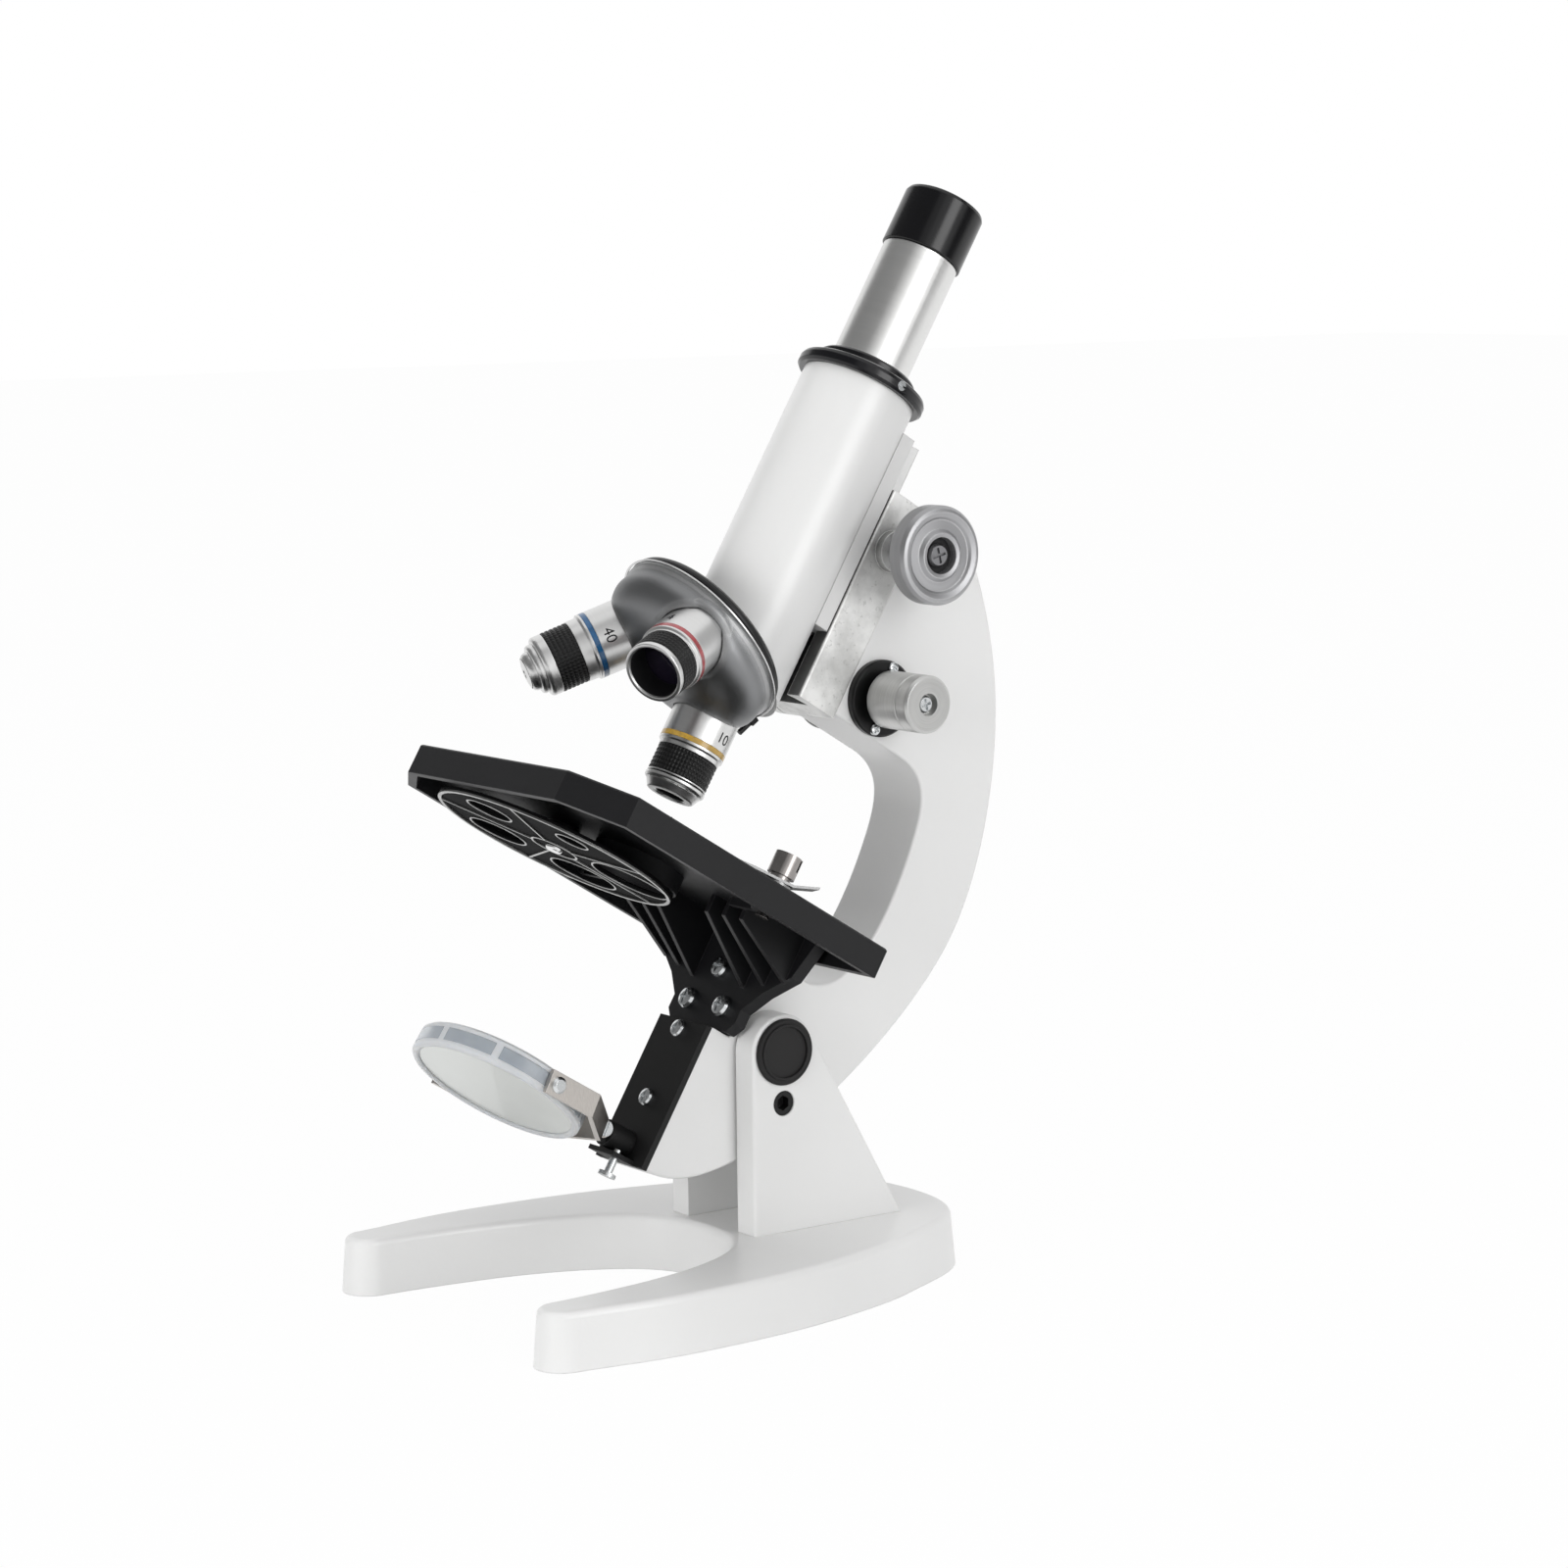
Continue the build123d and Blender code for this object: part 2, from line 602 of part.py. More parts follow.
# ---------------------------------------------------------------- fine motion
def make_fine_shaft():
    """The fine shaft with the screw worm in its middle."""
    reach = knob_face - fine_recess_depth
    shaft = rod_x(fine_shaft_radius, -reach, reach, fine_y, fine_z)
    worm = mechanism_half_width - free_gap
    for step in range(worm_turns):
        x = -worm + 0.6 + step * (2 * worm - 1.2) / (worm_turns - 1)
        shaft += rod_x(fine_shaft_radius + worm_lift, x - 0.35, x + 0.35, fine_y, fine_z)
    return shaft


def make_fine_knob(side):
    inner = knob_face - fine_knob_width
    r = fine_knob_radius
    bore = fine_shaft_radius + seat_gap
    length = fine_knob_width
    floor = length - fine_recess_depth
    groove = r - 0.35
    profile = ((bore, 0), (r - 0.5, 0), (r, 0.5), (r, length - 5.6), (groove, length - 5.3),
               (groove, length - 4.9), (r, length - 4.6), (r, length - 0.8), (r - 0.8, length),
               (3.3, length), (3.3, floor), (bore, floor))
    return turned_at(profile, (side * inner, fine_y, fine_z), (side, 0, 0))


def make_fine_flange(side):
    r, t = flange_radius, flange_thickness
    bore = fine_shaft_radius + running_gap
    profile = ((bore, 0), (r, 0), (r, t - 0.6), (r - 0.6, t), (bore, t))
    flange = turned_at(profile, (side * limb_half_width, fine_y, fine_z), (side, 0, 0))
    for x, y, z in flange_screw_spots(side):
        flange -= rod_x(flange_screw_radius + seat_gap, x, x + side * (t + 1), y, z)
    return flange


def flange_screw_spots(side):
    """Two screws on opposite sides of the flange."""
    spots = []
    for angle in (100, 280):
        dy = flange_screw_circle * cos(radians(angle))
        dz = flange_screw_circle * sin(radians(angle))
        spots.append((side * limb_half_width, fine_y + dy, fine_z + dz))
    return spots


def make_flange_screws():
    top, length = limb_half_width + flange_thickness, flange_thickness + 4
    return [pan_screw(1.7, 1.0, flange_screw_radius, length, (side * top, y, z), (-side, 0, 0))
            for side in (1, -1) for _, y, z in flange_screw_spots(side)]


def make_fine_lever():
    """A bell crank: its long leg follows the worm and its tip lifts the guide."""
    half = lever_thickness / 2
    tip_y = lever_pivot_y - lever_reach - 4.4
    boss = rod_x(3.0, -half, half, lever_pivot_y, lever_pivot_z)
    arm = block((-half, half), (tip_y, lever_pivot_y), (lever_pivot_z - 1.2, lever_pivot_z + 1.2))
    leg = block((-half, half), (lever_pivot_y + 0.4, lever_pivot_y + 2.8),
                (fine_z + fine_shaft_radius + worm_lift + 1.4, lever_pivot_z))
    lever = boss + arm + leg
    return lever - rod_x(lever_pin_radius + running_gap, -half - 1, half + 1, lever_pivot_y, lever_pivot_z)


def make_lever_pin():
    reach = limb_half_width - 3 - free_gap
    return rod_x(lever_pin_radius, -reach, reach, lever_pivot_y, lever_pivot_z)


def make_return_spring():
    """A coil spring under the roof of the hollow that keeps the lever and the guide down."""
    bottom = lever_pivot_z + 1.2 + spring_gap
    height = mechanism_top - bottom - 2 * spring_wire
    path = Helix(spring_pitch, height, spring_radius, center=(0, spring_y, bottom + spring_wire))
    start = path @ 0
    section = Plane(origin=start, z_dir=path % 0) * Circle(spring_wire)
    return sweep(section, path=path)


# ---------------------------------------------------------------- body tube and eyepiece
def make_tube():
    """The body tube, cut off at the slant of the nosepiece plate."""
    tube = rod_z(tube_radius, 70, tube_top, 0, axis_y)
    tube -= rod_z(tube_radius - tube_wall, 60, 300, 0, axis_y)
    tube -= turning_plane * stub(60, plate_near, plate_near + 100)
    for x, z in carriage_screw_places():
        tube -= rod_y(carriage_screw_radius + seat_gap, axis_y, guide_front, x, z)
        tube -= rod_y(carriage_screw_head + seat_gap, axis_y, carriage_screw_seat, x, z)
    return tube


def carriage_screw_places():
    """Four screws join tube and carriage from inside the tube."""
    return [(x, z) for x in (-carriage_screw_x, carriage_screw_x)
            for z in (carriage_bottom + 9, carriage_top - 9)]


def make_carriage_screws():
    screws = []
    for x, z in carriage_screw_places():
        head = rod_y(carriage_screw_head, carriage_screw_seat - 1.1, carriage_screw_seat, x, z)
        screws.append(head + rod_y(carriage_screw_radius, carriage_screw_seat, guide_front + 4.0, x, z))
    return screws


def make_collar():
    """The black ring on top of the tube, plugged into it and bored for the draw tube."""
    bore = draw_tube_radius + seat_gap
    low = tube_top - collar_plug_length
    r, t = collar_radius, collar_thickness
    top = tube_top + t
    plug = tube_radius - tube_wall - seat_gap
    step, high = collar_step_radius, top + collar_step_height
    profile = ((bore, low), (plug, low), (plug, tube_top), (r - 0.8, tube_top), (r, tube_top + 0.8),
               (r, top - 1.6), (r - 0.5, top - 0.6), (r - 1.6, top), (step + 0.4, top), (step, top + 0.4),
               (step, high - 0.7), (step - 0.7, high), (bore, high))
    collar = turned_at(profile, (0, axis_y, 0), (0, 0, 1))
    return collar - rod_x(collar_screw_radius + seat_gap, 0, r + 1, axis_y, tube_top + t / 2)


def make_collar_screw():
    """The slotted grub screw in the edge of the collar that holds the draw tube."""
    z = tube_top + collar_thickness / 2
    end = collar_radius - 0.2
    screw = rod_x(collar_screw_radius, draw_tube_radius + seat_gap, end, axis_y, z)
    return screw - block((end - 0.8, end + 1), (axis_y - 2, axis_y + 2), (z - 0.3, z + 0.3))


def make_draw_tube():
    r, w = draw_tube_radius, draw_tube_wall
    profile = ((r - w, draw_tube_bottom), (r, draw_tube_bottom), (r, draw_tube_top - 0.3),
               (r - 0.3, draw_tube_top), (r - w, draw_tube_top))
    return turned_at(profile, (0, axis_y, 0), (0, 0, 1))


def eyepiece_barrel_radius():
    return draw_tube_radius - draw_tube_wall - running_gap


def make_eyepiece_barrel():
    """The barrel that drops into the draw tube, with its field stop."""
    r = eyepiece_barrel_radius()
    low = eyecup_bottom - eyepiece_barrel_length
    high = eyecup_bottom + 9.0
    inner = r - eyepiece_wall
    stop = eyecup_bottom - 12.0
    profile = ((inner, low), (r, low), (r, high), (inner, high), (inner, stop + 1.0),
               (field_stop_radius, stop + 0.3), (field_stop_radius, stop - 0.3), (inner, stop - 1.0))
    return turned_at(profile, (0, axis_y, 0), (0, 0, 1))


def make_eyecup():
    """The black cap of the eyepiece, dished to the eye."""
    r, low = eyecup_radius, eyecup_bottom
    high = low + eyecup_height
    inner = eyepiece_barrel_radius() + seat_gap
    lens, lip = eye_lens_radius + seat_gap, eye_lens_radius - 1.2
    profile = ((inner, low), (r - 0.3, low), (r, low + 0.3), (r, high - 1.4), (r - 0.45, high - 0.45),
               (r - 1.4, high), (r - 2.4, high - 0.1), (eye_lens_radius + 0.6, high - 3.4),
               (lip, high - 3.6), (lip, high - 4.6), (lens, high - 4.6), (lens, low + 9.6),
               (inner, low + 9.6))
    return turned_at(profile, (0, axis_y, 0), (0, 0, 1))


def make_eye_lens():
    high = eyecup_bottom + eyecup_height - 4.6
    r = eye_lens_radius
    profile = ((0, high - 3.4), (r, high - 3.4), (r, high - 1.2), (r * 0.8, high - 0.6),
               (r * 0.5, high - 0.2), (0, high))
    return turned_at(profile, (0, axis_y, 0), (0, 0, 1))


def make_field_lens():
    low = eyecup_bottom - eyepiece_barrel_length
    r = field_lens_radius
    wall = eyepiece_barrel_radius() - eyepiece_wall - seat_gap
    profile = ((0, low + 0.2), (r * 0.6, low + 0.6), (wall, low + 1.6), (wall, low + 3.2), (0, low + 3.2))
    return turned_at(profile, (0, axis_y, 0), (0, 0, 1))


# ---------------------------------------------------------------- nosepiece and objectives
def along_turning(distance):
    return Vector(0, axis_y, apex_z) + turning * distance


def objective_frame(place):
    """The plane whose Z runs down the axis of an objective, from the apex."""
    working = Plane(origin=(0, axis_y, apex_z), x_dir=(1, 0, 0), z_dir=(0, 0, -1))
    turn = place * 360 / objective_count
    return working.rotated((0, 0, 0)) if turn == 0 else rotate_about_turning(working, turn)


def rotate_about_turning(plane, degrees_turned):
    """A plane through the apex, swung about the turning axis."""
    z_dir = plane.z_dir.rotate(Axis((0, 0, 0), turning), degrees_turned)
    x_dir = plane.x_dir.rotate(Axis((0, 0, 0), turning), degrees_turned)
    return Plane(origin=plane.origin, x_dir=x_dir, z_dir=z_dir)


def stub(radius, start, end):
    """A round bar along the local Z."""
    return Pos(0, 0, start) * Cylinder(radius, end - start, align=standing)


def lathe(points):
    """A solid turned about the local Z from (radius, height) points."""
    return revolve(make_face(Plane.XZ * Polyline(*points, close=True)), axis=Axis.Z)


def make_nosepiece_plate():
    """The fixed black plate under the tube, with a lug for the click stop."""
    r = plate_radius
    near, far = plate_near, plate_far
    plate = turning_plane * lathe(((0, near), (r - 1.6, near), (r - 0.5, near + 0.9), (r, near + 1.9),
                                   (r, far - 0.5), (r - 0.5, far), (0, far)))
    plate -= objective_frame(0) * stub(light_bore_radius, 0, 60)
    plate -= turning_plane * stub(nosepiece_bolt_radius + seat_gap, 0, 60)
    return plate


def make_click_stop():
    """A black bracket behind the working objective, with the peg of the click stop."""
    inner, outer = plate_radius + seat_gap, peg_circle + peg_radius
    wide = (-click_stop_half_width, click_stop_half_width)
    root = block(wide, (-outer, -inner), (plate_near + 1.9, plate_far - 0.5))
    arm = block(wide, (-outer, -peg_circle + peg_radius), (plate_far - 0.5, plate_far + 1.2))
    peg = Pos(0, -peg_circle, 0) * stub(peg_radius, plate_far + 1.2, peg_end)
    return turning_plane * (root + arm + peg)


def make_turret():
    """The revolving dome with one threaded socket for each objective."""
    r, low = turret_radius, turret_start
    rim, high = low + turret_rim, low + turret_rim + turret_dome
    rise = turret_dome
    profile = Wire([
        Line((0, low), (r, low)), Line((r, low), (r, rim - 0.7)), Line((r, rim - 0.7), (r - 0.7, rim)),
        Line((r - 0.7, rim), (r - 0.7, rim + 0.5)),
        Spline((r - 0.7, rim + 0.5), (r - 0.4, rim + rise * 0.28), (r * 0.94, rim + rise * 0.50),
               (r * 0.76, rim + rise * 0.78), (0, high), tangents=((0.0, 1), (-1, 0)),
               tangent_scalars=(1, 1)),
        Line((0, high), (0, low))])
    body = turning_plane * revolve(make_face(Plane.XZ * profile), axis=Axis.Z)
    for place in objective_places:
        socket = stub(objective_radius + socket_wall, 38.0, objective_seat)
        socket = fillet(socket.edges().group_by(Axis.Z)[-1], socket_wall * 0.7)
        body += objective_frame(place) * socket
    for place in objective_places:
        frame = objective_frame(place)
        body -= frame * stub(light_bore_radius, 20, 60)
        body -= frame * stub(objective_radius + free_gap, objective_seat, 70)
        body -= frame * stub(objective_thread_radius + seat_gap,
                             objective_seat - objective_thread_length - 0.5, 60)
    body -= turning_plane * stub(80, -20, turret_start)
    body -= turning_plane * stub(nosepiece_bolt_radius + running_gap, 0, 80)
    body -= turning_plane * stub(nosepiece_bolt_head + free_gap, high - 4.0, 80)
    return body


def make_nosepiece_bolt():
    seat = turret_start + turret_rim + turret_dome - 4.0
    bolt = stub(nosepiece_bolt_radius, plate_near, seat) + stub(nosepiece_bolt_head, seat, seat + 2.6)
    bolt -= Pos(0, 0, seat + 2.6) * Box(2.2 * nosepiece_bolt_head, 1.4, 2.4)
    return turning_plane * bolt


def make_objective(grip_start, grip_end, grip_radius, steps, lens_radius):
    """The metal barrel of one objective, in its own frame."""
    r, seat = objective_radius, objective_seat
    core = grip_radius - 0.9
    tip = steps[-1][1]
    inside, stop = light_bore_radius - 1.5, light_bore_radius - 4.5
    thread, thread_top = objective_thread_radius, seat - objective_thread_length
    ring_end = ring_start + ring_width
    points = [(inside, thread_top), (thread, thread_top), (thread, seat), (r - 0.3, seat), (r, seat + 0.3),
              (r, ring_start), (r - 0.15, ring_start), (r - 0.15, ring_end), (r, ring_end),
              (r, ring_end + 0.8), (r - 0.7, ring_end + 1.2), (core, grip_start), (core, grip_end)]
    low = grip_end
    for radius, high in steps:
        points += [(radius, low), (radius, high - 0.5), (radius - 0.5, high)]
        low = high
    lens = lens_radius + seat_gap
    points += [(lens, tip), (lens, tip - 2.0), (stop, tip - 2.0), (stop, tip - 3.0), (inside, tip - 9.0)]
    return lathe(points)


def make_grip(grip_start, grip_end, grip_radius):
    """The knurled band of an objective, bevelled at both ends."""
    core = grip_radius - 0.9 + seat_gap
    return lathe(((core, grip_start), (grip_radius - 0.3, grip_start), (grip_radius, grip_start + 0.3),
                  (grip_radius, grip_end - 0.3), (grip_radius - 0.3, grip_end), (core, grip_end)))


def make_objective_lens(tip, lens_radius):
    bulge = min(0.5, lens_radius * 0.12)
    return lathe(((0, tip - 2.0), (lens_radius, tip - 2.0), (lens_radius, tip - 0.9),
                  (lens_radius * 0.6, tip - 0.9 + bulge), (0, tip - 0.9 + bulge * 1.3)))


# ---------------------------------------------------------------- stage
def stage_outline(inset):
    """The stage seen from above: straight at the back, cut corners at the front."""
    wide, front, back = stage_half_width - inset, stage_front + inset, stage_back - inset
    cut = inset * 0.55
    return make_face(Polyline((-wide, back), (wide, back), (wide, stage_front + stage_chamfer_y + cut),
                              (stage_half_width - stage_chamfer_x - cut, front),
                              (-stage_half_width + stage_chamfer_x + cut, front),
                              (-wide, stage_front + stage_chamfer_y + cut), close=True))


def make_stage():
    """The stage plate with its skirt, ribs and bracket, cast in one piece."""
    stage = Pos(0, 0, stage_floor) * extrude(stage_outline(0), stage_skirt)
    stage = chamfer(stage.edges().group_by(Axis.Z)[-1], 0.5)
    stage -= Pos(0, 0, stage_floor - 1) * extrude(stage_outline(stage_wall), stage_skirt - stage_plate + 1)
    ceiling = stage_top - stage_plate
    # upright plate of the bracket, screwed to the limb
    half, shoulder = bracket_half_width, bracket_shoulder
    edge = ((half - 3.0, bracket_bottom), (half, bracket_bottom + 3.0), (half, 5.0), (shoulder, 11.5),
            (shoulder + 9.5, 18.0), (shoulder + 14.5, ceiling + 0.5))
    plate = Polyline(*edge, *[(-x, z) for x, z in reversed(edge)], close=True)
    stage += Pos(0, bracket_seat, 0) * extrude(Plane.XZ * make_face(plate), bracket_thickness)
    # ribs that fan forward from the bracket under the plate
    for step in (-3.5, -2.5, -1.5, 1.5, 2.5, 3.5):
        x = step * bracket_rib_spacing
        foot = 8.0 + 2.2 * abs(step)
        reach = bracket_face - bracket_rib_reach
        rib = Polyline((bracket_face + 0.5, foot), (bracket_face + 0.5, ceiling + 0.5),
                       (reach, ceiling + 0.5), (reach, stage_floor), close=True)
        stage += Pos(x, 0, 0) * side_profile(make_face(rib), bracket_rib_thickness / 2)
    # cross ribs on the underside, short of the disc
    stage += block((-stage_half_width + 1, stage_half_width - 1), (bracket_face - bracket_rib_reach - 1.6,
                   bracket_face - bracket_rib_reach), (stage_floor + 3.0, ceiling + 0.5)) \
        - block((-40, 24), (-200, 0), (0, ceiling))
    # boss for the pivot of the disc
    stage += rod_z(5.0, stage_floor, ceiling + 0.5, disc_x, disc_y)
    stage -= rod_z(disc_pivot_radius + seat_gap, stage_floor - 1, stage_floor + 7, disc_x, disc_y)
    stage -= rod_z(stage_hole_radius, stage_floor, stage_top + 1, 0, axis_y)
    for x, z in stage_screw_places:
        stage -= rod_y(stage_screw_radius + seat_gap, bracket_seat, bracket_face - 1, x, z)
        stage -= rod_y(stage_screw_head + 0.5, bracket_face, bracket_face - 12, x, z)
    for side in (-1, 1):
        stage += rod_z(clip_screw_radius + 2.0, stage_floor + 1.0, ceiling + 0.5, side * clip_x, clip_y)
        stage -= rod_z(clip_screw_radius + seat_gap, stage_floor - 1, stage_top + 1, side * clip_x, clip_y)
    return stage


def make_disc():
    """The disc of stops, turning on its rivet just under the stage skirt."""
    top = stage_floor - free_gap
    disc = rod_z(disc_radius, top - disc_thickness, top, disc_x, disc_y)
    reach = hypot(disc_x, disc_y - axis_y)
    toward_axis = degrees(atan2(axis_y - disc_y, -disc_x))
    for index, diameter in enumerate(disc_stops):
        angle = radians(toward_axis + index * 360 / len(disc_stops))
        x, y = disc_x + reach * cos(angle), disc_y + reach * sin(angle)
        disc -= rod_z(diameter / 2, 0, 40, x, y)
    return disc - rod_z(disc_pivot_radius + running_gap, 0, 60, disc_x, disc_y)


def make_disc_rivet():
    top = stage_floor - free_gap - disc_thickness
    end = stage_floor + 6.5
    profile = ((0, top - 2.2), (2.0, top - 2.0), (3.6, top - 1.0), (3.8, top - 0.1),
               (disc_pivot_radius, top - 0.1), (disc_pivot_radius, end), (0, end))
    return turned_at(profile, (disc_x, disc_y, 0), (0, 0, 1))


def make_stage_screws():
    length = bracket_thickness + 8
    return [pan_screw(stage_screw_head, 2.5, stage_screw_radius, length, (x, bracket_face, z), (0, 1, 0))
            for x, z in stage_screw_places]


def make_clip(side):
    """A spring clip: a flat strip with a raised tip and a raised finger tail."""
    low = stage_top + clip_lift
    t, half = clip_thickness, clip_width / 2
    reach, tail = 36.0, 11.0
    flat = low + clip_rise
    line = ((-reach, low + 3.2), (-reach + 5, low), (-8, flat), (4, flat), (tail, low + 4.2))
    strip = Polyline(*line, *[(y, z + t) for y, z in reversed(line)], close=True)
    clip = side_profile(make_face(strip), half)
    clip += stub(half, low, low + clip_rise + t)
    clip -= stub(clip_screw_radius + running_gap, low - 1, low + 9)
    return Pos(side * clip_x, clip_y, 0) * Rot(0, 0, side * -24) * clip


def make_clip_screw(side):
    seat = stage_top + clip_lift + clip_rise + clip_thickness + seat_gap
    head_top = seat + clip_screw_head_height
    screw = rod_z(clip_screw_radius, stage_floor - 0.4, seat, side * clip_x, clip_y)
    screw += rod_z(clip_screw_head - 0.9, seat, seat + 1.2, side * clip_x, clip_y)
    screw += rod_z(clip_screw_head, seat + 1.2, head_top, side * clip_x, clip_y)
    slot = Pos(side * clip_x, clip_y, head_top - 1.9) * Rot(0, 0, 33) * Box(12, 1.3, 4.0)
    return screw - slot


# ---------------------------------------------------------------- mirror
def make_bar():
    """The black bar under the stage, with a foot that the barrel stands over."""
    bar = block((-limb_half_width, limb_half_width), (bar_front, limb_front), (bar_bottom, bar_top))
    foot_front = bar_front - barrel_length + 1.0
    bar += block((-6.0, 7.0), (foot_front, bar_front + 0.5), (bar_bottom, bar_bottom + 1.4))
    for z in bar_screw_places:
        bar -= rod_y(bar_screw_radius + seat_gap, limb_front, bar_front, 0, z)
    bar -= rod_y(barrel_radius * 0.5 + running_gap, limb_front, bar_front, 0, barrel_z)
    bar -= rod_z(thumb_radius + running_gap, bar_bottom - 1, bar_bottom + 2, thumb_x,
                 bar_front - barrel_length / 2)
    return bar


def make_bar_screws():
    length = bar_thickness + 7
    return [pan_screw(bar_screw_head, 1.7, bar_screw_radius, length, (0, bar_front, z), (0, 1, 0))
            for z in bar_screw_places]


def roll_mirror(solid):
    """Turn a piece about the axis of the barrel."""
    return Pos(0, 0, barrel_z) * Rot(0, -mirror_roll, 0) * Pos(0, 0, -barrel_z) * solid


def make_barrel():
    """The black barrel that turns on the bar and carries the fork on a flat tongue."""
    barrel = rod_y(barrel_radius, bar_front - 0.05, barrel_end, 0, barrel_z)
    barrel += rod_y(barrel_radius * 0.5, limb_front - 0.1, barrel_end, 0, barrel_z)
    barrel += block((-tongue_half, tongue_half), (fork_pivot_y, barrel_end),
                    (barrel_z - tongue_height, barrel_z + tongue_height))
    barrel += rod_x(tongue_height, -tongue_half, tongue_half, fork_pivot_y, barrel_z)
    barrel -= rod_x(pivot_radius + running_gap, -5, 5, fork_pivot_y, barrel_z)
    return roll_mirror(barrel)


def make_thumb_screw():
    y = bar_front - barrel_length / 2
    touch = barrel_z - sqrt(barrel_radius ** 2 - (thumb_x - thumb_radius) ** 2) - 0.05
    screw = rod_z(thumb_radius, bar_bottom - 5.0, touch, thumb_x, y)
    screw += rod_z(2.7, bar_bottom - 5.9, bar_bottom - 4.7, thumb_x, y)
    return screw


def make_fork():
    """A bent strip: two ears on the barrel's tongue, a web and two arms to the mirror."""
    t, half = fork_web, fork_height / 2
    arm_x = mirror_radius + free_gap
    web_y = barrel_end - web_standoff
    bend_y = mirror_y + 14.0
    ear_in = tongue_half + running_gap
    path = [(ear_in + 6.0, web_y), (arm_x, bend_y), (arm_x, mirror_y - 3.2)]
    slope = Vector(path[1][0] - path[0][0], path[1][1] - path[0][1]).normalized()
    out = Vector(-slope.Y, slope.X)
    if out.X < 0:
        out = out * -1
    right = Polyline(path[0], path[1], path[2], (arm_x + t, mirror_y - 3.2), (arm_x + t, bend_y + 0.5 * t),
                     (path[0][0] + out.X * t, path[0][1] + t), (ear_in, web_y + t), (ear_in, web_y),
                     close=True)
    level = mirror_z
    right_arm = Pos(0, 0, level - half) * extrude(make_face(right), fork_height)
    left_arm = mirrored(right_arm)
    web = block((-ear_in - 0.5, ear_in + 0.5), (web_y, web_y + t), (level - half, level + half))
    fork = right_arm + left_arm + web
    for side in (-1, 1):
        inner, outer = side * ear_in, side * (ear_in + ear_thickness)
        ear = block(sorted((inner, outer)), (web_y + 0.2, fork_pivot_y),
                    (barrel_z - ear_radius, barrel_z + ear_radius))
        ear += rod_x(ear_radius, inner, outer, fork_pivot_y, barrel_z)
        ear -= rod_x(pivot_radius + seat_gap, -6, 6, fork_pivot_y, barrel_z)
        fork += ear
        fork -= rod_x(1.0 + seat_gap, side * (arm_x - 1), side * (arm_x + t + 1), mirror_y, mirror_z)
    return roll_mirror(fork)


def make_fork_screw():
    """The slotted screw that the fork swings on, with its nut on the far side."""
    reach = tongue_half + running_gap + ear_thickness
    y, z = fork_pivot_y, barrel_z
    screw = rod_x(pivot_radius, -reach - 0.9, reach, y, z)
    screw += rod_x(2.3, reach, reach + 1.5, y, z)
    screw += rod_x(2.0, -reach - 1.4, -reach, y, z)
    slot = block((reach + 0.8, reach + 2), (y - 0.3, y + 0.3), (z - 3, z + 3))
    return roll_mirror(screw - slot)


def pitch_mirror(solid):
    """Turn a piece in the fork, about the line through the mirror's two screws."""
    return Pos(0, mirror_y, mirror_z) * Rot(-mirror_pitch, 0, 0) * solid


def make_mirror_frame():
    """The milky ring that holds two glasses, with windows in its side."""
    r, half = mirror_radius, mirror_height / 2
    inner = r - mirror_rim
    glass_edge = half - 0.8 - mirror_glass
    ring = lathe(((inner, -half + 0.6), (inner + 0.6, -half), (r - 0.8, -half), (r, -half + 0.8),
                  (r, half - 0.8), (r - 0.8, half), (inner + 0.6, half), (inner, half - 0.6)))
    ring -= stub(inner + 1.0 + seat_gap, glass_edge, half - 0.8)
    ring -= stub(inner + 1.0 + seat_gap, -half + 0.8, -glass_edge)
    for side in (-1, 1):
        ring -= rod(1.0 + running_gap, (side * (r - 5), 0, 0), (side * (r + 2), 0, 0))
    return roll_mirror(pitch_mirror(ring))


def make_mirror_glasses():
    """A flat glass on one side and a hollow one on the other."""
    half = mirror_height / 2
    r = mirror_radius - mirror_rim + 1.0
    face = half - 0.8
    back = face - mirror_glass
    flat = lathe(((0, -face), (r, -face), (r, -back), (0, -back)))
    dish = ((r, face), (r * 0.93, face), (r * 0.6, face - 0.75), (0, face - 1.1))
    hollow = lathe(((0, back), (r, back), *dish))
    return [roll_mirror(pitch_mirror(flat)), roll_mirror(pitch_mirror(hollow))]


def make_mirror_screws():
    screws = []
    for side in (-1, 1):
        x = side * (mirror_radius + free_gap + fork_web)
        profile = ((0, -4.6), (1.0, -4.6), (1.0, 0), (2.4, 0), (2.4, 0.7), (1.6, 1.3), (0, 1.3))
        screw = turned_at(profile, (x, mirror_y, mirror_z), (side, 0, 0))
        screws.append(roll_mirror(screw))
    return screws


